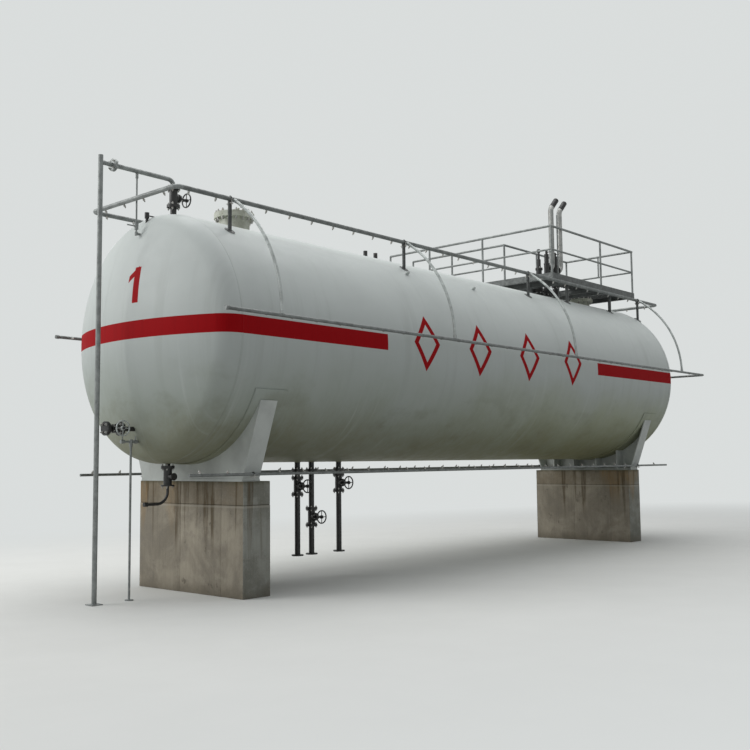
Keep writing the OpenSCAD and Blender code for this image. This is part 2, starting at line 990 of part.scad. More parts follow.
// guardrail panel along X between two posts, with posts at the places given
module rail_panel_x(x0, x1, y, posts) {
  bar_x(x0 - rail_d / 2, x1 + rail_d / 2, y, rail_z, rail_d);
  bar_x(x0, x1, y, rail_mid_z, rail_d - 8);
  for (x = posts)
    bar_z(rail_foot, rail_z, x, y, rail_post_d);
}

module guardrail_near() {
  color("gray")
    in_place()
      rail_panel_x(rail_x0, rail_x1, rail_near_y, [rail_x0, 0.42 * rail_x0 + 0.58 * rail_x1, rail_x1]);
}

module guardrail_far() {
  color("gray")
    in_place()
      rail_panel_x(catwalk_rail_x, rail_x1, rail_far_y,
        [catwalk_rail_x, 0.5 * catwalk_rail_x + 0.5 * rail_x1, rail_x1]);
}

// guardrail panel along Y that stops at the rails and posts of its ends
module rail_panel_y(y0, y1, x, posts) {
  bar_y(y0 + rail_d / 2 + seat, y1, x, rail_z, rail_d);
  bar_y(y0 + rail_post_d / 2 + seat, y1, x, rail_mid_z, rail_d - 8);
  for (y = posts)
    bar_z(rail_foot, rail_z, x, y, rail_post_d);
}

module guardrail_front() {
  color("gray")
    in_place()
      rail_panel_y(rail_near_y, catwalk_end - rail_in, rail_x0,
        [rail_far_y, 0.45 * rail_far_y + 0.55 * catwalk_end, catwalk_end - rail_in]);
}

module guardrail_rear() {
  gap = rail_far_y - rail_near_y;
  color("gray")
    in_place() {
      bar_y(rail_near_y + rail_d / 2 + seat, rail_near_y + gap - rail_d / 2 - seat, rail_x1, rail_z, rail_d);
      bar_y(rail_near_y + rail_post_d / 2 + seat, rail_near_y + gap - rail_post_d / 2 - seat, rail_x1,
        rail_mid_z, rail_d - 8);
      bar_z(rail_mid_z, rail_z, rail_x1, (rail_far_y + rail_near_y) / 2, rail_post_d - 8);
    }
}

module catwalk_frame() {
  color("dimgray")
    in_place()
      frame_ring(deck_x0, catwalk_x1, deck_far, catwalk_end, [(deck_x0 + catwalk_x1) / 2]);
}

module catwalk_grating() {
  color("gray")
    in_place()
      grating(deck_x0 + channel_t + seat, catwalk_x1 - channel_t - seat,
        deck_far + channel_t + seat, catwalk_end - channel_t - seat);
}

module catwalk_rail() {
  color("gray")
    in_place()
      rail_panel_y(rail_far_y, catwalk_end - rail_in, catwalk_rail_x,
        [0.45 * rail_far_y + 0.55 * catwalk_end, catwalk_end - rail_in]);
}

// stack that leaves its relief valve sideways, turns up and ends slanted
module relief_stack(x) {
  top = shell_r + stack_h;
  low = shell_r + relief_h;
  foot = stack_out - outlet_face - valve_flange_t;
  difference() {
    union() {
      bar_x(x - stack_out + outlet_face, x - foot, 0, low, 1.5 * stack_d);
      bar_z(low + foot, top, x, 0, stack_d);
      translate([x - foot, 0, low + foot])
        rotate([90, 0, 0])
          rotate([0, 0, -90])
            rotate_extrude(angle = 90)
              translate([foot, 0])
                circle(d = stack_d);
      translate([x + stack_bend, 0, top])
        rotate([-90, 180, 0])
          rotate_extrude(angle = 45)
            translate([stack_bend, 0])
              circle(d = stack_d);
      stack_tip(x, top, -12, stack_mouth, stack_d + 4);
    }
    stack_tip(x, top, stack_mouth - 120, stack_mouth + over, stack_d - 6);
  }
}

// round bar along the slanted axis at the end of a stack's bend
module stack_tip(x, top, a, b, d) {
  translate([x + stack_bend * (1 - cos(45)), 0, top + stack_bend * sin(45)])
    rotate([0, 45, 0])
      translate([0, 0, a])
        cylinder(h = b - a, d = d);
}

module relief_stacks() {
  color("silver")
    in_place()
      for (x = stack_x)
        relief_stack(x);
}

// nozzle with a flange pair and a stop valve under the deck
module deck_nozzle(x, d) {
  stop_z = shell_r + stop_rise;
  difference() {
    bar_z(shell_r - 40, stop_z + stop_half, x, 0, d);
    shell_space();
  }
  for (z = [stop_z - stop_half, stop_z + stop_half - 2 * valve_flange_t])
    bar_z(z, z + 2 * valve_flange_t, x, 0, valve_flange_d);
  bar_z(stop_z - stop_half / 2, stop_z + stop_half / 2, x, 0, 1.2 * valve_body_d);
  bar_y(0, 0.72 * valve_flange_d, x, stop_z, 0.6 * valve_body_d);
  bar_y(0.62 * valve_flange_d, 0.78 * valve_flange_d, x, stop_z, 0.73 * valve_flange_d);
}

// upright valve that reaches up through the deck and ends in a ball
module upright_valve(x) {
  foot = shell_r + stop_rise + stop_half - over;
  top = shell_r + deck_valve_h - ball_d / 2;
  collar = foot + (top - foot) * 0.38;
  deck_nozzle(x, 60);
  bar_z(foot, top, x, 0, ball_d / 2);
  bar_z(foot, collar, x, 0, valve_body_d);
  bar_z(collar - over, collar + 2 * valve_flange_t, x, 0, 1.35 * valve_body_d);
  bar_z(collar, foot + (top - foot) * 0.72, x, 0, 0.7 * valve_body_d);
  translate([x, 0, top])
    sphere(d = ball_d);
}

// spring relief valve with its outlet flange towards its stack
module relief_valve(x) {
  out = shell_r + relief_h;
  cover = out + 0.42 * valve_flange_d;
  bonnet = out + 1.64 * valve_flange_d;
  cap = out + 2.1 * valve_flange_d;
  deck_nozzle(x, 76);
  bar_z(shell_r + stop_rise + stop_half - over, cover, x, 0, relief_body_d);
  bar_x(x, x + outlet_face, 0, out, 0.8 * relief_body_d);
  bar_x(x + outlet_face - valve_flange_t, x + outlet_face, 0, out, 1.5 * stack_d);
  bar_z(cover, cover + 22, x, 0, relief_body_d + 8);
  bar_z(cover + 22, bonnet, x, 0, 0.85 * relief_body_d);
  bar_z(bonnet, cap, x, 0, 0.45 * relief_body_d);
  bar_y(-0.55 * valve_flange_d, 0, x, (bonnet + cap) / 2, 0.17 * relief_body_d);
}

module deck_valves() {
  color("darkslategray")
    in_place() {
      upright_valve(deck_valve_x);
      for (x = relief_x)
        relief_valve(x);
    }
}

module level_pipe() {
  color("gray")
    in_place()
      difference() {
        bar_z(shell_r - 250, shell_r + level_h, stack_1, -level_y, level_d);
        shell_space();
      }
}

// short nozzle low on the front head with a valve and a blind end
module head_valve() {
  color("dimgray")
    in_place()
      difference() {
        union() {
          bar_x(head_valve_x, 0, 0, head_valve_z, vent_d);
          bar_x(head_valve_x + head_valve_len / 2, head_valve_x + head_valve_len / 2 + valve_flange_t, 0,
            head_valve_z, valve_flange_d);
          translate([head_valve_x, 0, head_valve_z])
            rotate([0, 90, 0])
              rotate([0, 0, -90])
                gate_valve(head_valve_len);
          bar_x(head_valve_x - head_valve_len / 2 - valve_flange_t, head_valve_x - head_valve_len / 2, 0,
            head_valve_z, valve_flange_d);
        }
        dish_solid(seat);
      }
}

module head_wheel() {
  color("darkslategray")
    in_place()
      translate([head_valve_x, -stem_len, head_valve_z])
        rotate([0, 0, -90])
          handwheel();
}

// level tap on the head: a cross nozzle with two cocks and a pipe to the ground
module drip_pipe() {
  z = -drip_drop;
  color("gray")
    in_place()
      difference() {
        union() {
          bar_z(ground_z, z, drip_x, 0, drip_d);
          bar_z(z - 2.2 * drip_d, z + drip_d, drip_x, 0, 1.6 * drip_d);
          bar_x(drip_x - drip_tail, 0, 0, z, drip_d);
          for (x = [drip_x - drip_tail, drip_x + 1.5 * drip_d]) {
            bar_x(x, x + cock_len, 0, z, 1.7 * drip_d);
            bar_z(z, z + 1.5 * cock_len, x + cock_len / 2, 0, 0.5 * drip_d);
          }
          bar_z(ground_z, ground_z + foot_t, drip_x, 0, 3.7 * drip_d);
        }
        dish_solid(seat);
      }
}

// drain with a stop valve and a thin pipe that bends towards the front
module drain_line() {
  valve_z = bottom_z - drain_drop;
  valve_low = valve_z - valve_len / 2;
  turn_z = valve_low - cope;
  end_z = turn_z - drain_bend;
  bend_x = drain_x - drain_bend;
  color("dimgray")
    in_place()
      difference() {
        union() {
          bar_z(valve_low, bottom_z + 40, drain_x, 0, vent_d);
          translate([drain_x, 0, valve_z])
            cylinder(h = valve_len, d = valve_body_d, center = true);
          bar_z(valve_low, valve_low + valve_flange_t, drain_x, 0, valve_flange_d);
          bar_z(valve_low + valve_len - valve_flange_t, valve_low + valve_len + valve_flange_t, drain_x, 0,
            valve_flange_d);
          bar_y(-0.72 * valve_flange_d, 0, drain_x, valve_z, 0.6 * valve_body_d);
          bar_y(-0.78 * valve_flange_d, -0.68 * valve_flange_d, drain_x, valve_z, 0.55 * valve_flange_d);
          bar_z(turn_z, valve_low + over, drain_x, 0, drain_d);
          translate([bend_x, 0, turn_z])
            rotate([90, 0, 0])
              rotate([0, 0, -90])
                rotate_extrude(angle = 90)
                  translate([drain_bend, 0])
                    circle(d = drain_d);
          bar_x(-drain_out, bend_x, 0, end_z, drain_d);
          bar_x(-drain_out, -drain_out + 50, 0, end_z, 1.5 * drain_d);
        }
        shell_space();
      }
}

// nozzle, gate valve and drop pipe that ends in a drilled outlet flange
module bottom_line(x, valve_z) {
  difference() {
    union() {
      bar_z(outlet_z, bottom_z + cope, x, 0, bottom_d);
      bar_z(bottom_z - nozzle_h, bottom_z - nozzle_h + 2 * valve_flange_t, x, 0, valve_flange_d);
      translate([x, 0, valve_z])
        rotate([0, 0, -90])
          gate_valve(valve_len);
      for (end = [valve_z - valve_len / 2 - valve_flange_t, valve_z + valve_len / 2])
        bar_z(end, end + valve_flange_t, x, 0, valve_flange_d);
      bar_z(outlet_z, outlet_z + valve_flange_t, x, 0, valve_flange_d);
    }
    shell_space();
    bar_z(outlet_z - over, outlet_z + outlet_bore, x, 0, bottom_d - 2 * bottom_t);
    for (a = [45 : 90 : 315])
      bar_z(outlet_z - over, outlet_z + valve_flange_t + over, x + outlet_pcd / 2 * cos(a),
        outlet_pcd / 2 * sin(a), outlet_hole_d);
  }
}

module bottom_lines() {
  color("dimgray")
    in_place()
      for (i = [0 : 2])
        bottom_line(bottom_x[i], bottom_valve_z[i]);
}

module bottom_wheel(i) {
  color("darkslategray")
    in_place()
      translate([bottom_x[i], -stem_len, bottom_valve_z[i]])
        rotate([0, 0, -90])
          handwheel();
}

module bottom_wheel_front() {
  bottom_wheel(0);
}

module bottom_wheel_middle() {
  bottom_wheel(1);
}

module bottom_wheel_rear() {
  bottom_wheel(2);
}

shell();
front_head();
rear_head();
wear_plates();
front_saddle();
rear_saddle();
front_pier();
rear_pier();
front_manhole();
front_manhole_cover();
rear_manhole();
vent_valve();
vent_wheel();
vent_line();
riser();
gauge_line();
top_fittings();
header_near();
header_far();
header_front();
header_rear();
header_posts();
branches_near();
branches_far();
mid_pipe_near();
mid_pipe_far();
mid_pipe_rear();
low_pipe_near();
low_pipe_far();
platform_frame();
platform_legs();
platform_grating();
guardrail_near();
guardrail_far();
guardrail_front();
guardrail_rear();
catwalk_frame();
catwalk_grating();
catwalk_rail();
relief_stacks();
deck_valves();
level_pipe();
head_valve();
head_wheel();
drip_pipe();
drain_line();
bottom_lines();
bottom_wheel_front();
bottom_wheel_middle();
bottom_wheel_rear();
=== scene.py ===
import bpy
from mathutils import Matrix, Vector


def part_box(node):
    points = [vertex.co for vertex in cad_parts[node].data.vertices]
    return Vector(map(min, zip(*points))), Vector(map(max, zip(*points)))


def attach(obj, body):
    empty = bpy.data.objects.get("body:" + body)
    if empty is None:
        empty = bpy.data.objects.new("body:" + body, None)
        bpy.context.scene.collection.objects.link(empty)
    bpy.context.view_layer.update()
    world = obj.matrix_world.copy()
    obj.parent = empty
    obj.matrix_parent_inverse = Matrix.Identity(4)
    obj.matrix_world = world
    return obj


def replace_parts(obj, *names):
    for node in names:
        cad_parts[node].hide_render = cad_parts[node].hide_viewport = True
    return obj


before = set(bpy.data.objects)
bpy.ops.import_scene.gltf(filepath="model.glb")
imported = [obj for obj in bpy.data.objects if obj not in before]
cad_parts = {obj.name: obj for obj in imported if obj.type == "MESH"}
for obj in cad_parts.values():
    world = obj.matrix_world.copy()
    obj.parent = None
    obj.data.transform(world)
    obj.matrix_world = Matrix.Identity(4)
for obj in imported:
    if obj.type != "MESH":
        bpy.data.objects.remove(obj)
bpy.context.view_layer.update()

import math

import bmesh
import bpy
from bpy.props import FloatProperty, FloatVectorProperty, PointerProperty
from mathutils import Matrix, Vector

bl_info = {
    "name": "Horizontal Pressure Tank",
    "version": (1, 0, 0),
    "blender": (4, 5, 0),
    "location": "View3D > Sidebar > Tank",
    "description": "Dresses a horizontal pressure tank with its fittings, paint and weathering",
    "category": "Add Mesh",
}

# The tank's own frame: front head weld, middle plane and centre line
SHELL_LOW, SHELL_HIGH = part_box("shell")
WELD_X = SHELL_LOW.x
MIDDLE_Y = (SHELL_LOW.y + SHELL_HIGH.y) / 2
CENTRE_Z = (SHELL_LOW.z + SHELL_HIGH.z) / 2
SHELL_R = (SHELL_HIGH.z - SHELL_LOW.z) / 2
SHELL_LENGTH = SHELL_HIGH.x - SHELL_LOW.x
X_AXIS, Y_AXIS, Z_AXIS = Vector((1, 0, 0)), Vector((0, 1, 0)), Vector((0, 0, 1))
STEEL = "plant"

# Sizes of the plate, saddles and piers that the added pieces seat on, in metres
PLATE, ROUND_STEPS = 0.020, 192
CROWN_R = 3.040
KNUCKLE_R = 0.304
KNUCKLE_IN = SHELL_R - KNUCKLE_R
CROWN_IN = CROWN_R - KNUCKLE_R
CROWN_DROP = math.sqrt(CROWN_IN ** 2 - KNUCKLE_IN ** 2)
SADDLES = (0.57, SHELL_LENGTH - 0.57)
BASE_TOP = -SHELL_R - 0.190
ANCHOR_SIDE, ANCHOR_ROWS = 0.85, (-0.04, 0.08)
WEAR_EDGE, WEAR_R, WEAR_WRAP = 0.247, SHELL_R + 0.006, math.radians(64)
POUR_DEPTH, POUR_INSET, ARRIS = 0.28, 0.003, 0.007
BOARD_JOINTS = (-0.62, 0.17)

# Sizes of the manholes, nozzles and valves
FRONT_MANHOLE, REAR_MANHOLE = 1.14, SHELL_LENGTH - 0.64
CROWN_FITTINGS = (3.72, 3.95)
HEAD_NOZZLES = ((-1.11, 0.0285), (SHELL_R - 0.28, 0.0147), (-1.26, 0.0135))
HEAD_VALVE_Z, HEAD_VALVE_OFF = -1.11, 0.285
RISER_GAP, RISER_R = 0.075, 0.0285
FLANGE_T, FLANGE_PCD, FLANGE_BOLTS = 0.018, 0.125, 4
SMALL_PCD, RELIEF_PCD, OUTLET_PCD = 0.112, 0.132, 0.130
GATE_END, HEAD_GATE_END = 0.115, 0.095
BONNET_OFF, BONNET_PCD, BONNET_BOLTS, BONNET_NUT = 0.088, 0.096, 6, 0.011
VENT_X, VENT_Z = 0.16, SHELL_R + 0.2695
VENT_JOINT_OFF, VENT_JOINT_Z = 0.17, SHELL_R + 0.49
BOTTOM_LINES = ((2.28, -SHELL_R - 0.33), (2.55, -SHELL_R - 0.76), (3.10, -SHELL_R - 0.30))
BOTTOM_JOINT_Z = -SHELL_R - 0.112
DRAIN_X, DRAIN_Z = 0.11, -SHELL_R - 0.16

# Sizes of the spray pipes
HEADER_Y, HEADER_Z, HEADER_R = 0.863, SHELL_R + 0.128, 0.0285
HEADER_FRONT, HEADER_REAR = -0.44, SHELL_LENGTH + 0.95
MID_Y, MID_Z, MID_R = SHELL_R + 0.207, 0.146, 0.021
MID_REAR = SHELL_LENGTH + 1.15
LOW_Y, LOW_Z, LOW_R = 1.10, -SHELL_R - 0.135, 0.017
POSTS = (0.35, 3.60, 6.89, SHELL_LENGTH + 0.07)
BRANCH_OFF, BRANCH_R, BRANCH_BOW = 0.052, 0.019, SHELL_R + 0.230

# Sizes of the platform and what stands on it
DECK_FRONT, DECK_REAR = SHELL_LENGTH - 3.04, SHELL_LENGTH + 0.08
DECK_NEAR, DECK_FAR = -0.80, 0.75
DECK_TOP = SHELL_R + 0.286
CATWALK_WIDTH, CATWALK_END = 0.78, 3.05
RELIEF_VALVES = (DECK_FRONT + 1.12, DECK_FRONT + 1.43)
RELIEF_OUTLET_OFF, RELIEF_OUTLET_Z = 0.072, SHELL_R + 0.63
UPRIGHT_VALVE, UPRIGHT_TOP = DECK_FRONT + 0.84, SHELL_R + 0.587
DECK_VALVE_Z = SHELL_R + 0.193
STACKS = (DECK_FRONT + 1.32, DECK_FRONT + 1.63)
STACK_TOP = SHELL_R + 1.77

# Red marks on the paint, from the front head weld, middle plane and centre line
NUMERAL_LEAN, NUMERAL_STEM, NUMERAL_RISE = 0.10, (-0.333, -0.228), (0.35, 0.79)
FLAG_SLOPE, FLAG_EDGES, FLAG_SPAN = 0.72, (0.560, 0.645), (-0.22, -0.065)
LOZENGES, LOZENGE_Z = (3.30, 4.55, 5.87, 7.19), 0.085
LOZENGE_HALF, LOZENGE_RISE, LOZENGE_HOLLOW = 0.28, 0.385, 0.68

# Colours of dirt, rust and stains, of painted shade on the pier ends, and of the surroundings
YELLOWING = (1.0, 0.98, 0.74)
STREAK_GREY = (0.31, 0.335, 0.30)
BLOT_BROWN = (0.19, 0.185, 0.12)
SPECK_BROWN = (0.24, 0.21, 0.16)
WELD_DIRT = (0.22, 0.22, 0.19)
CHIPPED_RED = (0.42, 0.30, 0.28)
MANHOLE_PALE, MANHOLE_DULL, MANHOLE_RUN = (0.60, 0.61, 0.53), (0.42, 0.43, 0.35), (0.17, 0.15, 0.10)
RUST, RUST_RUN = (0.17, 0.085, 0.04), (0.20, 0.10, 0.045)
STACK_PALE, STACK_DULL, STACK_RUST = (0.44, 0.44, 0.42), (0.25, 0.26, 0.25), (0.20, 0.11, 0.06)
BOLT_RUST, CHIPPED_BLACK = (0.19, 0.095, 0.045), (0.13, 0.10, 0.08)
PIER_BLOTCH, PIER_CAP = (0.24, 0.215, 0.18), (0.235, 0.185, 0.12)
# Painted shade: cooler, darker greys for the narrow end faces of the piers
PIER_SIDE_SHADE, PIER_SIDE_SHADE_DULL = (0.345, 0.355, 0.32), (0.225, 0.23, 0.20)
PIER_BOARD, PIER_FINES, PIER_MOSS = (0.10, 0.09, 0.07), (0.50, 0.46, 0.38), (0.10, 0.10, 0.06)
PIER_WASH, PIER_RUN = (0.33, 0.21, 0.09), (0.105, 0.075, 0.04)
PIER_LIME, PIER_JOINT = (0.52, 0.48, 0.40), (0.09, 0.075, 0.05)
PIER_HONEYCOMB, PIER_FOOT = (0.12, 0.10, 0.075), (0.15, 0.13, 0.095)
BACKDROP, SKY_TINT = (0.70, 0.725, 0.72), (0.93, 0.96, 1.0)
FLOOR_DULL, FLOOR_PALE, FLOOR_THROWN = (0.735, 0.74, 0.71), (0.755, 0.76, 0.73), (0.46, 0.46, 0.44)


def at(x, y, z):
    return Vector((WELD_X + x, MIDDLE_Y + y, CENTRE_Z + z))


def dish(radius):
    """Depth of a dished head at a distance from its axis."""
    return math.sqrt(CROWN_R ** 2 - radius ** 2) - CROWN_DROP


def plate_height(x, y):
    """Height of the plate's outside above the centre line."""
    beyond = max(-x, x - SHELL_LENGTH, 0.0)
    round_r = SHELL_R if beyond == 0 else KNUCKLE_IN + math.sqrt(KNUCKLE_R ** 2 - beyond ** 2)
    return math.sqrt(round_r ** 2 - y ** 2)


HEAD_VALVE = -dish(HEAD_VALVE_Z) - HEAD_VALVE_OFF
RISER = HEAD_VALVE - HEAD_GATE_END - FLANGE_T - RISER_GAP - RISER_R
VENT_JOINT = RISER + VENT_JOINT_OFF


# What every paint colour shares
TINT = {"subtype": "COLOR", "min": 0, "max": 1}


class TankPaint(bpy.types.PropertyGroup):
    white: FloatVectorProperty(
        name="White paint", description="Paint of the shell, heads and wear plates",
        default=(0.645, 0.685, 0.66), **TINT)
    # Partly a dust film, partly painted shade: it darkens the sides and the lower half of the plate
    film_and_shade: FloatVectorProperty(
        name="Side film", description="Thin dust film on the lower half of the plate",
        default=(0.325, 0.37, 0.35), **TINT)
    # Partly grime, partly painted shade and warm painted ground light: it darkens and yellows the belly
    grime_and_shade: FloatVectorProperty(
        name="Belly grime", description="Dirt film that darkens the belly",
        default=(0.21, 0.197, 0.105), **TINT)
    red: FloatVectorProperty(
        name="Band red", description="Paint of the band, the numeral and the lozenges",
        default=(0.37, 0.0, 0.003), **TINT)
    saddle: FloatVectorProperty(
        name="Saddle paint", description="Paint of the saddles",
        default=(0.58, 0.61, 0.58), **TINT)
    pipe: FloatVectorProperty(
        name="Pipe grey", description="Weathered zinc of the spray pipes and rails",
        default=(0.33, 0.35, 0.34), **TINT)
    valve: FloatVectorProperty(
        name="Valve black", description="Paint of the cast valves",
        default=(0.018, 0.018, 0.017), **TINT)
    concrete: FloatVectorProperty(
        name="Concrete", description="Board-marked concrete of the piers",
        default=(0.43, 0.385, 0.305), **TINT)
    # Painted shade: black over the stack mouths, standing for their dark open ends
    stack_mouth_shade: FloatVectorProperty(
        name="Stack tip", description="Soot black of the relief stack mouths",
        default=(0.02, 0.02, 0.02), **TINT)
    zinc: FloatVectorProperty(
        name="Bolt zinc", description="Zinc of the nuts, studs and clamps",
        default=(0.42, 0.42, 0.40), **TINT)


class TankSizes(bpy.types.PropertyGroup):
    band_low: FloatProperty(
        name="Band bottom", description="Lower edge of the red band above the centre line",
        default=-0.073, unit="LENGTH")
    band_high: FloatProperty(
        name="Band top", description="Upper edge of the red band above the centre line",
        default=0.137, unit="LENGTH")
    band_front: FloatProperty(
        name="Front band end", description="End of the front band from the front head weld",
        default=2.475, unit="LENGTH")
    band_rear: FloatProperty(
        name="Rear band start", description="Start of the rear band from the front head weld",
        default=8.02, unit="LENGTH")
    tip_pitch: FloatProperty(
        name="Tip spacing", description="Spacing of the spray tips along the pipes",
        default=0.40, min=0.2, max=1.0, unit="LENGTH")
    bead: FloatProperty(
        name="Weld bead", description="Radius of the weld beads round the nozzles",
        default=0.006, min=0.003, max=0.012, unit="LENGTH")
    cover_nut: FloatProperty(
        name="Cover nut", description="Size across flats of the manhole nuts",
        default=0.030, min=0.02, max=0.04, unit="LENGTH")
    flange_nut: FloatProperty(
        name="Flange nut", description="Size across flats of the valve flange nuts",
        default=0.022, min=0.014, max=0.03, unit="LENGTH")
    anchor_nut: FloatProperty(
        name="Anchor nut", description="Size across flats of the saddle anchor nuts",
        default=0.041, min=0.03, max=0.05, unit="LENGTH")


def paint():
    return bpy.context.scene.tank_paint


def sizes():
    return bpy.context.scene.tank_sizes


def shade(tone, factor):
    return tuple(min(1.0, part * factor) for part in tone)


class Finish:
    """Builds one material from plain node steps."""

    def __init__(self, name, roughness=0.5, metallic=0.0, specular=0.5):
        self.material = bpy.data.materials.new(name)
        self.material.use_nodes = True
        self.tree = self.material.node_tree
        self.shader = self.tree.nodes["Principled BSDF"]
        self.shader.inputs["Roughness"].default_value = roughness
        self.shader.inputs["Metallic"].default_value = metallic
        self.shader.inputs["Specular IOR Level"].default_value = specular
        self.place = self.tree.nodes.new("ShaderNodeTexCoord").outputs["Object"]
        axes = self.tree.nodes.new("ShaderNodeSeparateXYZ")
        self.put(axes.inputs[0], self.place)
        self.x, self.y, self.z = axes.outputs
        self.normal = None

    def put(self, socket, value):
        """Links a node's output to a socket, or sets a plain number, vector or colour."""
        if isinstance(value, bpy.types.NodeSocket):
            self.tree.links.new(value, socket)
        elif hasattr(value, "__len__"):
            socket.default_value = (tuple(value) + (1.0,))[:len(socket.default_value)]
        else:
            socket.default_value = value

    def maths(self, kind, a, b=0.0):
        node = self.tree.nodes.new("ShaderNodeMath")
        node.operation = kind
        self.put(node.inputs[0], a)
        self.put(node.inputs[1], b)
        return node.outputs[0]

    def times(self, a, b):
        return self.maths("MULTIPLY", a, b)

    def plus(self, a, b):
        return self.maths("ADD", a, b)

    def less(self, a, b):
        return self.maths("SUBTRACT", a, b)

    def most(self, a, b):
        return self.maths("MAXIMUM", a, b)

    def off(self, value, middle):
        """Distance of a value from a middle."""
        return self.maths("ABSOLUTE", self.less(value, middle))

    def noise(self, scale, detail=3.0, rough=0.55, twist=0.0, where=None):
        node = self.tree.nodes.new("ShaderNodeTexNoise")
        for key, value in (("Vector", where or self.place), ("Scale", scale), ("Detail", detail),
                           ("Roughness", rough), ("Distortion", twist)):
            self.put(node.inputs[key], value)
        return node.outputs["Fac"]

    def streaks(self, scales, detail, rough, shift=(0, 0, 0)):
        """Noise with its own scale along each axis."""
        node = self.tree.nodes.new("ShaderNodeMapping")
        self.put(node.inputs["Vector"], self.place)
        self.put(node.inputs["Location"], shift)
        self.put(node.inputs["Scale"], scales)
        return self.noise(1.0, detail, rough, where=node.outputs[0])

    def spread(self, value, low, high, to_low=0.0, to_high=1.0):
        node = self.tree.nodes.new("ShaderNodeMapRange")
        node.interpolation_type = "SMOOTHSTEP"
        for socket, number in zip(node.inputs, (value, low, high, to_low, to_high)):
            self.put(socket, number)
        return node.outputs["Result"]

    def blend(self, share, a, b, kind="MIX"):
        node = self.tree.nodes.new("ShaderNodeMix")
        node.data_type = "RGBA"
        node.blend_type = kind
        self.put(node.inputs[0], share)
        self.put(node.inputs[6], a)
        self.put(node.inputs[7], b)
        return node.outputs[2]

    def stain(self, base, mask, depth, tone):
        """Lays a tone over the base where the mask is, as deep as given."""
        return self.blend(self.times(mask, depth), base, tone)

    def inside(self, value, low, high, soft=0.002):
        up = self.spread(value, low - soft, low + soft)
        down = self.spread(value, high - soft, high + soft, 1.0, 0.0)
        return self.times(up, down)

    def bump(self, height, distance, strength=0.5):
        node = self.tree.nodes.new("ShaderNodeBump")
        self.put(node.inputs["Height"], height)
        self.put(node.inputs["Distance"], distance)
        self.put(node.inputs["Strength"], strength)
        if self.normal:
            self.put(node.inputs["Normal"], self.normal)
        self.normal = node.outputs[0]
        self.put(self.shader.inputs["Normal"], self.normal)

    def colour(self, value):
        self.put(self.shader.inputs["Base Color"], value)

    def roughness(self, value):
        self.put(self.shader.inputs["Roughness"], value)

    def uneven_sheen(self, scale, low, high):
        self.roughness(self.spread(self.noise(scale), 0.3, 0.7, low, high))


def red_marks(f, along, side, height):
    """Mask of the band, the numeral on the front head and the lozenges."""
    band = f.inside(height, sizes().band_low, sizes().band_high, 0.0015)
    front, rear, edge = sizes().band_front, sizes().band_rear, 0.002
    ends = f.plus(f.spread(along, front - edge, front + edge, 1.0, 0.0),
                  f.spread(along, rear - edge, rear + edge))
    lean = f.less(side, f.times(height, NUMERAL_LEAN))
    stem = f.times(f.inside(lean, *NUMERAL_STEM), f.inside(height, *NUMERAL_RISE))
    slope = f.plus(height, f.times(side, FLAG_SLOPE))
    flag = f.times(f.inside(slope, *FLAG_EDGES), f.inside(side, *FLAG_SPAN))
    numeral = f.times(f.most(stem, flag), f.spread(along, -0.08, -0.10))
    red = f.most(f.times(band, ends), numeral)
    on_side = f.spread(f.off(side, 0.0), 0.8, 0.82)
    for centre in LOZENGES:
        across = f.maths("DIVIDE", f.off(along, centre), LOZENGE_HALF)
        upward = f.maths("DIVIDE", f.off(height, LOZENGE_Z), LOZENGE_RISE)
        ring = f.inside(f.plus(across, upward), LOZENGE_HOLLOW, 1.0, 0.004)
        red = f.most(red, f.times(ring, on_side))
    return red


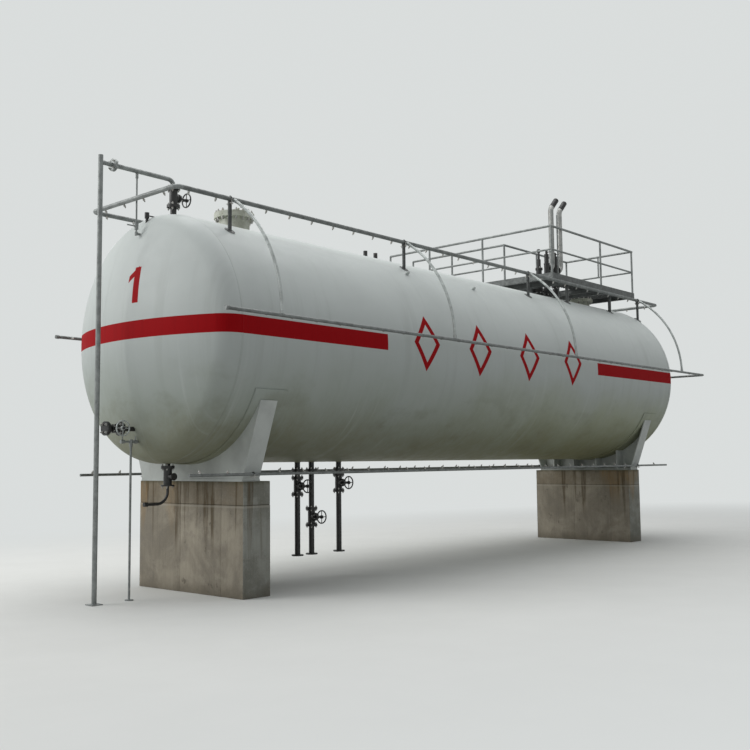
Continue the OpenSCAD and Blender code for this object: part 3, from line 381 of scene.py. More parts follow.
def tank_white():
    f = Finish("tank white", roughness=0.40, specular=0.13)
    along = f.less(f.x, WELD_X)
    side = f.less(f.y, MIDDLE_Y)
    height = f.less(f.z, CENTRE_Z)
    on_head = f.less(1.0, f.inside(along, -0.02, SHELL_LENGTH + 0.02, 0.02))
    runs = f.plus(f.times(f.streaks((6.5, 0.30, 0.42), 5.0, 0.62), f.less(1.0, on_head)),
                  f.times(f.streaks((0.30, 6.5, 0.42), 5.0, 0.62), on_head))
    fine = f.streaks((30.0, 12.0, 1.3), 4.0, 0.6)
    clouds = f.noise(0.8, 5.0, 0.62, 0.4)
    low = f.plus(height, f.times(f.less(clouds, 0.5), 0.9))
    # Painted shade mixed with a dust film: the plate darkens down the sides
    film_and_shade = f.spread(low, 0.55, -1.15)
    base = f.blend(f.spread(clouds, 0.3, 0.7), paint().white, shade(paint().white, 0.93))
    base = f.stain(base, film_and_shade, 0.80, paint().film_and_shade)
    # Painted shade and warm painted ground light mixed with grime: the belly darkens and yellows
    belly = f.spread(f.plus(low, f.times(fine, 0.35)), -0.45, -1.35)
    base = f.stain(base, belly, 0.66, paint().grime_and_shade)
    yellowed = f.times(f.spread(low, -0.1, -1.0), f.spread(along, 2.0, 9.0, 0.25, 0.90))
    base = f.blend(yellowed, base, YELLOWING, "MULTIPLY")
    streak = f.times(f.spread(runs, 0.50, 0.72), f.spread(height, 1.42, 0.2, 0.10, 1.0))
    base = f.stain(base, streak, 0.16, STREAK_GREY)
    blots = f.spread(f.streaks((1.7, 1.7, 2.8), 6.0, 0.6, (7.0, 3.0, 1.0)), 0.50, 0.68)
    base = f.stain(base, f.times(blots, f.spread(height, -0.1, -1.1)), 0.30, BLOT_BROWN)
    pale = f.times(f.spread(runs, 0.42, 0.27), f.spread(height, 0.9, -0.6))
    base = f.stain(base, pale, 0.22, paint().white)
    specks = f.spread(f.noise(17.0, 4.0, 0.7), 0.70, 0.76)
    base = f.stain(base, specks, 0.22, SPECK_BROWN)
    for weld in (0.0, SHELL_LENGTH):
        line = f.inside(along, weld - 0.018, weld + 0.018, 0.008)
        base = f.stain(base, line, f.spread(height, 1.4, -0.4, 0.03, 0.13), WELD_DIRT)
    red = red_marks(f, along, side, height)
    worn = f.stain(paint().red, f.spread(fine, 0.45, 0.8), 0.35, shade(paint().red, 0.55))
    worn = f.stain(worn, f.spread(f.noise(24.0, 5.0, 0.7), 0.68, 0.74), 0.12, CHIPPED_RED)
    f.colour(f.blend(red, base, worn))
    sheen = f.plus(f.spread(f.noise(7.0), 0.3, 0.75, 0.32, 0.50), f.times(film_and_shade, 0.12))
    f.roughness(f.most(sheen, f.times(red, 0.70)))
    f.bump(f.noise(1.6, 2.0), 0.010)
    f.bump(f.streaks((60.0, 60.0, 6.0), 3.0, 0.6), 0.0006)
    return f.material


def saddle_paint():
    f = Finish("saddle paint")
    tone = paint().saddle
    base = f.blend(f.spread(f.noise(3.0, 4.0), 0.3, 0.75), tone, shade(tone, 0.77))
    rust = f.spread(f.streaks((9.0, 9.0, 0.8), 6.0, 0.68), 0.62, 0.78)
    f.colour(f.stain(base, rust, 0.55, RUST_RUN))
    f.uneven_sheen(14.0, 0.4, 0.62)
    f.bump(f.noise(30.0), 0.0015, 0.4)
    return f.material


def manhole_paint():
    f = Finish("manhole paint", roughness=0.6, specular=0.3)
    base = f.blend(f.spread(f.noise(6.0, 5.0, 0.65), 0.36, 0.64), MANHOLE_PALE, MANHOLE_DULL)
    runs = f.spread(f.streaks((24.0, 24.0, 2.5), 5.0, 0.7), 0.52, 0.68)
    base = f.stain(base, runs, 0.55, MANHOLE_RUN)
    f.colour(f.stain(base, f.spread(f.noise(19.0, 5.0, 0.7), 0.60, 0.72), 0.60, RUST))
    f.uneven_sheen(14.0, 0.5, 0.75)
    f.bump(f.noise(30.0, 4.0, 0.65), 0.002)
    return f.material


def weathered_zinc(name, tone):
    f = Finish(name, roughness=0.48, metallic=0.35)
    # The tone scales the pipe grey; the copies for some pipes use it to paint shade and light
    grey = shade(paint().pipe, tone)
    base = f.blend(f.spread(f.noise(9.0, 5.0, 0.65), 0.3, 0.75), grey, shade(grey, 0.55))
    f.colour(f.stain(base, f.spread(f.noise(38.0, 4.0, 0.7), 0.66, 0.76), 0.6, RUST))
    f.uneven_sheen(22.0, 0.38, 0.62)
    f.bump(f.noise(60.0), 0.0008)
    return f.material


def valve_black():
    f = Finish("valve black", roughness=0.42)
    chips = f.spread(f.noise(26.0, 5.0, 0.7), 0.60, 0.74)
    f.colour(f.stain(paint().valve, chips, 0.7, CHIPPED_BLACK))
    f.uneven_sheen(18.0, 0.3, 0.55)
    f.bump(f.noise(80.0), 0.0012, 0.6)
    return f.material


def pier_concrete():
    f = Finish("pier concrete", roughness=0.9, specular=0.2)
    below = f.less(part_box("front_pier")[1].z, f.z)
    pale = paint().concrete
    base = f.blend(f.spread(f.noise(1.5, 7.0, 0.64, 0.5), 0.36, 0.64), pale, shade(pale, 0.66))
    base = f.stain(base, f.spread(f.noise(6.0, 5.0, 0.68), 0.48, 0.66), 0.45, PIER_BLOTCH)
    worn_cap = f.spread(f.noise(3.2, 5.0, 0.65), 0.30, 0.62, 0.10, 0.55)
    base = f.stain(base, f.spread(below, 0.29, 0.27), worn_cap, PIER_CAP)
    # Painted shade: the narrow end faces of the pier take a cooler, darker grey than the wide faces
    on_side = f.spread(f.off(f.y, MIDDLE_Y), 1.015, 1.022)
    grey = f.blend(f.spread(f.noise(2.6, 6.0, 0.7), 0.38, 0.62), PIER_SIDE_SHADE, PIER_SIDE_SHADE_DULL)
    base = f.stain(base, on_side, 0.88, grey)
    boards = f.streaks((30.0, 30.0, 1.6), 4.0, 0.7)
    base = f.stain(base, f.spread(boards, 0.42, 0.72), 0.16, PIER_BOARD)
    base = f.stain(base, f.spread(f.noise(60.0, 4.0, 0.7), 0.52, 0.70), 0.25, PIER_FINES)
    ragged = f.spread(f.streaks((26.0, 26.0, 2.2), 5.0, 0.7), 0.36, 0.60, 0.35, 1.0)
    for size, length, depth, tone in ((2.6, 0.70, 0.60, PIER_WASH), (8.5, 1.00, 0.74, PIER_RUN)):
        column = f.streaks((size, size, 0.22), 2.0, 0.5, (size, 0.0, 0.0))
        reach = f.spread(column, 0.46, 0.66, -0.05, length)
        drip = f.spread(f.less(reach, below), -0.05, 0.45)
        base = f.stain(base, f.times(drip, ragged), depth, tone)
    moss = f.spread(f.plus(below, f.times(f.noise(9.0, 4.0), 0.08)), 0.10, 0.03)
    honeycomb = f.spread(f.streaks((8.0, 8.0, 4.8), 6.0, 0.75, (16.0, 40.0, 0.0)), 0.62, 0.70)
    foot = f.spread(f.plus(f.z, f.times(f.noise(4.0, 5.0, 0.65), 0.30)), 0.36, 0.14)
    for mask, depth, tone in ((moss, 0.65, PIER_MOSS),
                              (f.inside(below, 0.288, 0.312, 0.010), 0.35, PIER_LIME),
                              (f.inside(below, 0.274, 0.286, 0.005), 0.55, PIER_JOINT),
                              (honeycomb, 0.60, PIER_HONEYCOMB), (foot, 0.55, PIER_FOOT)):
        base = f.stain(base, mask, depth, tone)
    f.colour(base)
    f.bump(f.noise(7.0, 6.0, 0.68), 0.008, 0.6)
    f.bump(f.less(boards, f.times(honeycomb, 2.0)), 0.003, 0.7)
    return f.material


def stack_paint():
    f = Finish("stack paint", roughness=0.45, metallic=0.5)
    base = f.blend(f.spread(f.noise(9.0, 5.0, 0.65), 0.3, 0.75), STACK_PALE, STACK_DULL)
    rust = f.spread(f.streaks((18.0, 18.0, 2.5), 6.0, 0.7), 0.60, 0.75)
    base = f.stain(base, rust, 0.6, STACK_RUST)
    first = at(STACKS[0], 0, STACK_TOP)
    on_second = f.maths("GREATER_THAN", f.x, first.x + 0.255)
    local = f.less(f.less(f.x, first.x), f.times(on_second, STACKS[1] - STACKS[0]))
    slant = f.plus(local, f.less(f.z, first.z))
    # Painted shade: black over the stack ends past a slanted line, for the dark open mouths
    f.colour(f.blend(f.spread(slant, 0.125, 0.135), base, paint().stack_mouth_shade))
    f.uneven_sheen(16.0, 0.36, 0.58)
    f.bump(f.noise(70.0), 0.0008)
    return f.material


def bolt_zinc():
    f = Finish("bolt zinc", roughness=0.46, metallic=0.6)
    f.colour(f.stain(paint().zinc, f.spread(f.noise(55.0, 5.0, 0.7), 0.50, 0.68), 0.75, BOLT_RUST))
    f.uneven_sheen(90.0, 0.35, 0.65)
    f.bump(f.noise(260.0), 0.0005)


def give(material, *names):
    for name in names:
        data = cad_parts[name].data
        data.materials.clear()
        data.materials.append(material)


def paint_nodes():
    give(tank_white(), "shell", "front_head", "rear_head", "wear_plates")
    give(manhole_paint(), "front_manhole", "front_manhole_cover", "rear_manhole")
    give(saddle_paint(), "front_saddle", "rear_saddle")
    give(pier_concrete(), "front_pier", "rear_pier")
    give(valve_black(), "vent_valve", "vent_wheel", "top_fittings", "deck_valves", "head_valve",
         "drain_line", "bottom_lines", "bottom_wheel_front", "bottom_wheel_middle", "bottom_wheel_rear")
    give(weathered_zinc("weathered zinc", 0.95), "vent_line", "riser", "gauge_line", "header_front",
         "header_rear", "drip_pipe")
    # The pipe zinc at a darker tone, as painted shade on these pipes
    give(weathered_zinc("zinc with painted shade", 0.68), "header_near", "header_far", "mid_pipe_near",
         "mid_pipe_far", "mid_pipe_rear", "low_pipe_near", "low_pipe_far", "level_pipe")
    # The pipe zinc at a lighter tone, as painted light on the branch arcs, their collars and the head wheel
    give(weathered_zinc("zinc with painted light", 1.60), "branches_near", "branches_far", "head_wheel")
    give(weathered_zinc("rail zinc", 0.90), "guardrail_near", "guardrail_far", "guardrail_front",
         "guardrail_rear", "catwalk_rail")
    give(weathered_zinc("beam grey", 0.42), "platform_frame", "catwalk_frame")
    give(weathered_zinc("dark zinc", 0.26), "platform_legs", "platform_grating", "catwalk_grating",
         "header_posts")
    give(stack_paint(), "relief_stacks")
    bolt_zinc()


class TANK_OT_finishes(bpy.types.Operator):
    """Gives every solid of the tank its weathered finish, with painted shade and light on some of them."""
    bl_idname = "tank.finishes"
    bl_label = "Finishes"

    def execute(self, context):
        paint_nodes()
        return {"FINISHED"}


def keep(name, bm, material, sharp=None):
    """Turns a bmesh into a piece that rides on the plant, smooth up to the sharp angle."""
    if not bm.verts:
        raise RuntimeError("nothing was made for " + name)
    mesh = bpy.data.meshes.new(name)
    bm.to_mesh(mesh)
    bm.free()
    mesh.materials.append(bpy.data.materials[material])
    for face in mesh.polygons:
        face.use_smooth = sharp is not None
    if sharp is not None:
        mesh.set_sharp_from_angle(angle=math.radians(sharp))
    piece = bpy.data.objects.new(name, mesh)
    bpy.context.scene.collection.objects.link(piece)
    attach(piece, STEEL)
    return piece


def facing(place, direction):
    return Matrix.Translation(place) @ direction.normalized().to_track_quat("Z", "Y").to_matrix().to_4x4()


def block(bm, middle, size):
    """A box by its middle and its size."""
    where = Matrix.Translation(middle) @ Matrix.Diagonal((*size, 1.0))
    return bmesh.ops.create_cube(bm, size=1.0, matrix=where)["verts"]


def edges_of(verts):
    return list({edge for vert in verts for edge in vert.link_edges})


def faces_of(verts):
    return list({face for vert in verts for face in vert.link_faces})


def soften(bm, edges, offset, segments):
    bmesh.ops.bevel(bm, geom=edges, offset=offset, offset_type="OFFSET", affect="EDGES",
                    segments=segments, profile=0.5, material=-1)


def fresh(bm, before):
    """The vertices that were made since the earlier set was taken."""
    return [vert for vert in bm.verts if vert not in before]


def spun(bm, outline, where, steps, angle=2 * math.pi, closed=True):
    """Spins an outline of radius and height points round the Z axis of a placing matrix."""
    before = set(bm.verts)
    corners = [bm.verts.new((radius, 0.0, height)) for radius, height in outline]
    edges = [bm.edges.new(pair) for pair in zip(corners, corners[1:])]
    if closed:
        edges.append(bm.edges.new((corners[-1], corners[0])))
    whole = abs(angle - 2 * math.pi) < 1e-6
    bmesh.ops.spin(bm, geom=corners + edges, cent=(0, 0, 0), axis=(0, 0, 1), angle=angle, steps=steps,
                   use_merge=whole, dvec=(0, 0, 0))
    bmesh.ops.remove_doubles(bm, verts=fresh(bm, before), dist=1e-6)
    made = fresh(bm, before)
    if not whole:
        bmesh.ops.holes_fill(bm, edges=[edge for edge in edges_of(made) if edge.is_boundary], sides=0)
    bmesh.ops.transform(bm, matrix=where, verts=made)
    bmesh.ops.recalc_face_normals(bm, faces=faces_of(made))
    return made


def rod(bm, sides, start, end, place, low_r, high_r=None):
    """A straight or tapered round bar between two heights on the axis of a placing matrix."""
    bmesh.ops.create_cone(bm, cap_ends=True, cap_tris=False, segments=sides, radius1=low_r,
                          radius2=low_r if high_r is None else high_r, depth=end - start,
                          matrix=place @ Matrix.Translation((0, 0, (start + end) / 2)))


def nut(bm, place, direction, across, stud=0.55):
    """A washer, a hexagon nut and the end of its stud, standing on a face."""
    where = facing(place, direction)
    corner = across / math.sqrt(3)
    rod(bm, 12, 0.0, 0.12 * across, where, 1.12 * corner)
    rod(bm, 6, 0.12 * across, 0.80 * across, where, corner)
    rod(bm, 12, 0.80 * across, 0.90 * across, where, 0.97 * across / 2, 0.82 * across / 2)
    rod(bm, 8, 0.90 * across, (0.90 + stud) * across, where, 0.31 * across)
    rod(bm, 8, (0.90 + stud) * across, (0.98 + stud) * across, where, 0.31 * across, 0.23 * across)


def nut_ring(bm, centre, direction, pcd, count, across, stud=0.55):
    """Nuts on one face of a flange, on a bolt circle."""
    where = facing(centre, direction)
    for step in range(count):
        angle = 2 * math.pi * (step + 0.5) / count
        spot = where @ Vector((pcd / 2 * math.cos(angle), pcd / 2 * math.sin(angle), 0.0))
        nut(bm, spot, direction, across, stud)


def flange_pair(bm, centre, direction, half, pcd, count, across, stud=0.45):
    for side in (-1, 1):
        nut_ring(bm, centre + direction * (side * half), direction * side, pcd, count, across, stud)


def head_outline(room):
    """Outline of a dished head from its axis to the weld, grown by the room given."""
    crown_steps, knuckle_steps = 20, 14
    crown, knuckle = CROWN_R + room, KNUCKLE_R + room
    meet = math.asin(KNUCKLE_IN / CROWN_IN)
    angles = [meet * step / crown_steps for step in range(crown_steps + 1)]
    points = [(crown * math.sin(angle), crown * math.cos(angle) - CROWN_DROP) for angle in angles]
    for step in range(1, knuckle_steps + 1):
        angle = meet + (math.pi / 2 - meet) * step / knuckle_steps
        points.append((KNUCKLE_IN + knuckle * math.sin(angle), knuckle * math.cos(angle)))
    return points


class TANK_OT_plate(bpy.types.Operator):
    """Makes the smooth rolled shell and its two dished heads."""
    bl_idname = "tank.plate"
    bl_label = "Shell and heads"

    def execute(self, context):
        bm = bmesh.new()
        inner = SHELL_R - PLATE
        spun(bm, [(SHELL_R, 0), (SHELL_R, SHELL_LENGTH), (inner, SHELL_LENGTH), (inner, 0)],
             facing(at(0, 0, 0), X_AXIS), ROUND_STEPS)
        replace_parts(keep("rolled_shell", bm, "tank white", 40), "shell")
        outline = head_outline(0.0) + list(reversed(head_outline(-PLATE)))
        for name, node, x, way in (("front_dished_head", "front_head", 0, -X_AXIS),
                                   ("rear_dished_head", "rear_head", SHELL_LENGTH, X_AXIS)):
            bm = bmesh.new()
            spun(bm, outline, facing(at(x, 0, 0), way), ROUND_STEPS, closed=False)
            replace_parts(keep(name, bm, "tank white", 40), node)
        return {"FINISHED"}


def bead_section(radius, corners=8):
    """Section of a round weld bead at a distance from its axis."""
    size = sizes().bead
    angles = [2 * math.pi * corner / corners for corner in range(corners)]
    return [(radius + size * math.cos(angle), size * math.sin(angle)) for angle in angles]


class TANK_OT_welds(bpy.types.Operator):
    """Lays the weld beads of the heads, nozzles, pads and wear plates."""
    bl_idname = "tank.welds"
    bl_label = "Weld beads"

    def execute(self, context):
        bm = bmesh.new()
        foot, shoulder, crest = SHELL_R - 0.002, SHELL_R + 0.0015, SHELL_R + 0.003
        seam = [(foot, -0.013), (shoulder, -0.009), (crest, 0), (shoulder, 0.009), (foot, 0.013)]
        for x in (0, SHELL_LENGTH):
            spun(bm, seam, facing(at(x, 0, 0), X_AXIS), ROUND_STEPS)
        keep("head_welds", bm, "tank white", 50)
        bm = bmesh.new()
        nozzles = [(FRONT_MANHOLE, 0.203), (REAR_MANHOLE, 0.162), (VENT_X, 0.0385), (UPRIGHT_VALVE, 0.030)]
        nozzles += [(x, 0.017) for x in CROWN_FITTINGS] + [(x, 0.038) for x in RELIEF_VALVES]
        spots = [(x, 0, radius, 1) for x, radius in nozzles]
        for x in POSTS:
            spots += [(x, side * HEADER_Y, 0.0624, 1) for side in (-1, 1)]
        for x in (DECK_FRONT + 0.56, DECK_REAR - 0.96):
            spots += [(x, y, 0.066, 1) for y in (DECK_NEAR + 0.048, DECK_FAR - 0.048)]
        spots += [(x, 0, 0.038, -1) for x, valve in BOTTOM_LINES] + [(DRAIN_X, 0, 0.0285, -1)]
        for x, y, radius, way in spots:
            for vert in spun(bm, bead_section(radius), Matrix.Translation(at(x, y, 0)), 40):
                vert.co.z += way * plate_height(vert.co.x - WELD_X, vert.co.y - MIDDLE_Y)
        for z, radius in HEAD_NOZZLES:
            for vert in spun(bm, bead_section(radius), facing(at(0, 0, z), -X_AXIS), 32):
                vert.co.x -= dish(math.hypot(vert.co.y - MIDDLE_Y, vert.co.z - CENTRE_Z))
        keep("nozzle_welds", bm, "tank white", 60)
        bm = bmesh.new()
        for x in SADDLES:
            for side in (-WEAR_EDGE, WEAR_EDGE):
                where = facing(at(x + side, 0, 0), X_AXIS)
                made = spun(bm, bead_section(WEAR_R), Matrix.Identity(4), 96, 2 * WEAR_WRAP)
                low = where.to_3x3().inverted() @ -Z_AXIS
                turn = Matrix.Rotation(math.atan2(low.y, low.x) - WEAR_WRAP, 4, "Z")
                bmesh.ops.transform(bm, matrix=where @ turn, verts=made)
        keep("wear_plate_welds", bm, "tank white", 60)
        return {"FINISHED"}


class TANK_OT_piers(bpy.types.Operator):
    """Casts the two concrete piers in boarded pours with soft arrises."""
    bl_idname = "tank.piers"
    bl_label = "Piers"

    def execute(self, context):
        for name, node in (("front_cast_pier", "front_pier"), ("rear_cast_pier", "rear_pier")):
            low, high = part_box(node)
            bm = bmesh.new()
            pour = high.z - POUR_DEPTH
            joints = [low.y] + [MIDDLE_Y + y for y in BOARD_JOINTS] + [high.y]
            for floor, top, inset in ((low.z, pour, 0.0), (pour, high.z, POUR_INSET)):
                for left, right in zip(joints, joints[1:]):
                    made = block(bm, ((high.x + low.x) / 2, (left + right) / 2, (floor + top) / 2),
                                 (high.x - low.x - 2 * inset, right - left, top - floor))
                    soften(bm, edges_of(made), ARRIS, 2)
            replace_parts(keep(name, bm, "pier concrete", 35), node)
        return {"FINISHED"}


class TANK_OT_anchors(bpy.types.Operator):
    """Bolts the saddle bases down to the piers."""
    bl_idname = "tank.anchors"
    bl_label = "Anchor bolts"

    def execute(self, context):
        bm = bmesh.new()
        for x, way in zip(SADDLES, (1, -1)):
            for side in (-ANCHOR_SIDE, ANCHOR_SIDE):
                for row in ANCHOR_ROWS:
                    nut(bm, at(x + way * row, side, BASE_TOP), Z_AXIS, sizes().anchor_nut, 1.0)
        keep("anchor_nuts", bm, "bolt zinc")
        return {"FINISHED"}


class TANK_OT_cover_bolts(bpy.types.Operator):
    """Bolts the two manhole covers down."""
    bl_idname = "tank.cover_bolts"
    bl_label = "Manhole bolts"

    def execute(self, context):
        across = sizes().cover_nut
        for name, x, rise, half, pcd, count, size in (
                ("front_manhole_nuts", FRONT_MANHOLE, 0.200, 0.036, 0.470, 16, across),
                ("rear_manhole_nuts", REAR_MANHOLE, 0.130, 0.028, 0.386, 12, 0.9 * across)):
            bm = bmesh.new()
            flange_pair(bm, at(x, 0, SHELL_R + rise), Z_AXIS, half, pcd, count, size)
            keep(name, bm, "bolt zinc")
        return {"FINISHED"}


def joint(bm, x, z, direction, pcd, across, stud=0.45):
    """Nuts on both sides of a flange joint in the middle plane."""
    flange_pair(bm, at(x, 0, z), direction, FLANGE_T, pcd, FLANGE_BOLTS, across, stud)


class TANK_OT_flange_bolts(bpy.types.Operator):
    """Bolts the flanges of the valves and lines together."""
    bl_idname = "tank.flange_bolts"
    bl_label = "Flange bolts"

    def execute(self, context):
        across = sizes().flange_nut
        gate_ends = (-GATE_END, GATE_END)
        bm = bmesh.new()
        for end in gate_ends:
            joint(bm, VENT_X, VENT_Z + end, Z_AXIS, FLANGE_PCD, across)
        joint(bm, VENT_JOINT, VENT_JOINT_Z, X_AXIS, SMALL_PCD, 0.8 * across)
        for end in (-HEAD_GATE_END, HEAD_GATE_END):
            joint(bm, HEAD_VALVE + end, HEAD_VALVE_Z, X_AXIS, FLANGE_PCD, across)
        for x in (UPRIGHT_VALVE,) + RELIEF_VALVES:
            for end in gate_ends:
                joint(bm, x, DECK_VALVE_Z + end, Z_AXIS, RELIEF_PCD, 0.85 * across, 0.3)
        for x in RELIEF_VALVES:
            joint(bm, x + RELIEF_OUTLET_OFF, RELIEF_OUTLET_Z, X_AXIS, OUTLET_PCD, 0.8 * across)
        nut_ring(bm, at(UPRIGHT_VALVE, 0, UPRIGHT_TOP), Z_AXIS, SMALL_PCD, FLANGE_BOLTS, 0.75 * across)
        keep("valve_nuts", bm, "bolt zinc")
        bm = bmesh.new()
        for x, valve in BOTTOM_LINES:
            for z in (BOTTOM_JOINT_Z,) + tuple(valve + end for end in gate_ends):
                joint(bm, x, z, Z_AXIS, FLANGE_PCD, 0.8 * across, 0.2)
        joint(bm, DRAIN_X, DRAIN_Z + GATE_END, Z_AXIS, FLANGE_PCD, 0.8 * across, 0.2)
        nut_ring(bm, at(DRAIN_X, 0, DRAIN_Z - GATE_END), -Z_AXIS, FLANGE_PCD, FLANGE_BOLTS, 0.8 * across)
        keep("bottom_line_nuts", bm, "bolt zinc")
        bm = bmesh.new()
        bonnets = [(at(VENT_X + BONNET_OFF, 0, VENT_Z), X_AXIS)]
        for x, z in ((HEAD_VALVE, HEAD_VALVE_Z),) + BOTTOM_LINES:
            bonnets.append((at(x, -BONNET_OFF, z), -Y_AXIS))
        for spot, out in bonnets:
            nut_ring(bm, spot, out, BONNET_PCD, BONNET_BOLTS, BONNET_NUT)
        keep("bonnet_nuts", bm, "bolt zinc")
        return {"FINISHED"}


def spray_tip(bm, place, direction):
    """A threaded boss, a hexagon and a tapered tip."""
    where = facing(place, direction)
    rod(bm, 8, -0.004, 0.014, where, 0.013)
    rod(bm, 6, 0.014, 0.026, where, 0.015)
    rod(bm, 8, 0.026, 0.046, where, 0.011, 0.006)


def steps(start, end, pitch, shunned=(), room=0.07):
    """Evenly spaced spots that keep clear of the places to be shunned."""
    for step in range(int((end - start) / pitch) + 1):
        spot = start + step * pitch
        if all(abs(spot - other) > room for other in shunned):
            yield spot


class TANK_OT_spray_tips(bpy.types.Operator):
    """Screws the spray tips into the overhead, middle and low pipes."""
    bl_idname = "tank.spray_tips"
    bl_label = "Spray tips"

    def execute(self, context):
        pitch = sizes().tip_pitch
        busy = [x + off for x in POSTS for off in (0, BRANCH_OFF)]
        rows = ((-0.25, HEADER_REAR - 0.15, busy, 0.07, HEADER_Y, HEADER_Z, HEADER_R, HEADER_Y, -HEADER_Z),
                (-0.20, MID_REAR - 0.20, busy, 0.07, MID_Y, MID_Z, MID_R, 1, -0.12),
                (-0.25, SHELL_LENGTH + 0.5, SADDLES, 0.30, LOW_Y, LOW_Z, LOW_R, 0.55, 0.84))
        for name, side in (("near", -1), ("far", 1)):
            bm = bmesh.new()
            for start, end, shunned, room, y, z, radius, lean, drop in rows:
                aim = Vector((0, -side * lean, drop)).normalized()
                for x in steps(start, end, pitch, shunned, room):
                    spray_tip(bm, at(x, side * y, z) + aim * radius, aim)
            keep("spray_tips_" + name, bm, "bolt zinc")
        bm = bmesh.new()
        for x, way in ((HEADER_FRONT, 1), (HEADER_REAR, -1)):
            aim = Vector((way * 0.55, 0, -0.84)).normalized()
            for y in steps(-0.60, 0.61, pitch):
                spray_tip(bm, at(x, y, HEADER_Z) + aim * HEADER_R, aim)
        for y in steps(-1.4, 1.41, pitch):
            spray_tip(bm, at(MID_REAR, y, MID_Z) - X_AXIS * MID_R, -X_AXIS)
        keep("spray_tips_cross", bm, "bolt zinc")
        return {"FINISHED"}


def clamp(bm, centre, pipe_r, leg):
    """A U bolt over a pipe along X, its legs down through a strap with nuts under it."""
    wire = 0.005
    loop = pipe_r + wire + 0.001
    before = set(bm.verts)
    stand = Matrix.Rotation(math.pi / 2, 4, "X") @ Matrix.Rotation(math.pi / 2, 4, "Y")
    ring = bmesh.ops.create_circle(bm, cap_ends=True, segments=8, radius=wire,
                                   matrix=Matrix.Translation((0, loop, 0)) @ stand)["verts"]
    bmesh.ops.spin(bm, geom=ring + edges_of(ring) + faces_of(ring), cent=(0, 0, 0), axis=(1, 0, 0),
                   angle=math.pi, steps=14, use_merge=False)
    bmesh.ops.translate(bm, verts=fresh(bm, before), vec=centre)
    for side in (-loop, loop):
        rod(bm, 8, 0.0, leg, facing(centre + Vector((0, side, 0)), -Z_AXIS), wire)
        nut(bm, centre + Vector((0, side, 0.014 - leg)), -Z_AXIS, 0.015, 0.3)
    strap = block(bm, centre - Z_AXIS * (leg - 0.017), (0.036, 2 * loop + 0.036, 0.006))
    soften(bm, edges_of(strap), 0.0012, 1)


class TANK_OT_clamps(bpy.types.Operator):
    """Ties the overhead pipes to their posts and the low pipes to their clips."""
    bl_idname = "tank.clamps"
    bl_label = "Pipe clamps"

    def execute(self, context):
        bm = bmesh.new()
        for side in (-1, 1):
            for x in POSTS:
                clamp(bm, at(x, side * HEADER_Y, HEADER_Z), HEADER_R, 0.075)
            for x in SADDLES:
                clamp(bm, at(x - 0.05, side * LOW_Y, LOW_Z), LOW_R, 0.045)
        bmesh.ops.recalc_face_normals(bm, faces=bm.faces[:])
        keep("pipe_clamps", bm, "bolt zinc", 40)
        return {"FINISHED"}


class TANK_OT_collars(bpy.types.Operator):
    """Puts the socket collars on both ends of the curved branch pipes."""
    bl_idname = "tank.collars"
    bl_label = "Branch collars"

    def execute(self, context):
        across, upward = MID_Y - HEADER_Y, HEADER_Z - MID_Z
        chord = math.hypot(across, upward)
        depth = math.sqrt(BRANCH_BOW ** 2 - chord ** 2 / 4)
        centre_y = (HEADER_Y + MID_Y) / 2 - depth * upward / chord
        centre_z = (HEADER_Z + MID_Z) / 2 - depth * across / chord
        top = math.atan2(HEADER_Z - centre_z, HEADER_Y - centre_y) - (HEADER_R + 0.002) / BRANCH_BOW
        foot = math.atan2(MID_Z - centre_z, MID_Y - centre_y) + (MID_R + 0.002) / BRANCH_BOW
        rim, socket, chamfer = BRANCH_R + 0.0055, BRANCH_R + 0.0045, BRANCH_R + 0.002
        bm = bmesh.new()
        for side in (-1, 1):
            for x in POSTS:
                for angle, way in ((top, -1), (foot, 1)):
                    spot = at(x + BRANCH_OFF, side * (centre_y + BRANCH_BOW * math.cos(angle)),
                              centre_z + BRANCH_BOW * math.sin(angle))
                    where = facing(spot, Vector((0, -side * math.sin(angle), math.cos(angle))) * way)
                    rod(bm, 24, -0.004, 0.004, where, rim)
                    rod(bm, 24, 0.004, 0.040, where, socket)
                    rod(bm, 24, 0.040, 0.044, where, socket, chamfer)
        # The collars take the lighter zinc that paints light on the branches
        keep("branch_collars", bm, "zinc with painted light", 40)
        return {"FINISHED"}


class TANK_OT_lugs(bpy.types.Operator):
    """Welds the four small tapered lugs to the crown."""
    bl_idname = "tank.lugs"
    bl_label = "Crown lugs"

    def execute(self, context):
        length, thickness, height, tip, taper, sunk = 0.070, 0.012, 0.035, 0.024, 0.45, 0.004
        bm = bmesh.new()
        for x, angle in ((3.48, 41.8), (5.05, 43.1)):
            for side in (-1, 1):
                lean = math.radians(angle) * side
                out = Vector((0, math.sin(lean), math.cos(lean)))
                before = set(bm.verts)
                made = block(bm, (0, 0, height / 2), (length, thickness, height))
                top = max(faces_of(made), key=lambda face: face.calc_center_median().z)
                pushed = bmesh.ops.extrude_discrete_faces(bm, faces=[top])["faces"][0].verts[:]
                bmesh.ops.translate(bm, verts=pushed, vec=(0, 0, tip))
                bmesh.ops.scale(bm, verts=pushed, vec=(taper, 1.0, 1.0))
                bmesh.ops.transform(bm, matrix=facing(at(x, 0, 0) + out * (SHELL_R - sunk), out),
                                    verts=fresh(bm, before))
        soften(bm, bm.edges[:], 0.002, 2)
        keep("crown_lugs", bm, "tank white", 40)
        return {"FINISHED"}


def plank(bm, x_span, y_span, z_span):
    """A plain bar between two places on each axis, or nothing where they leave no room."""
    if x_span[1] > x_span[0] and y_span[1] > y_span[0]:
        spans = (x_span, y_span, z_span)
        block(bm, at(*(sum(span) / 2 for span in spans)), [high - low for low, high in spans])


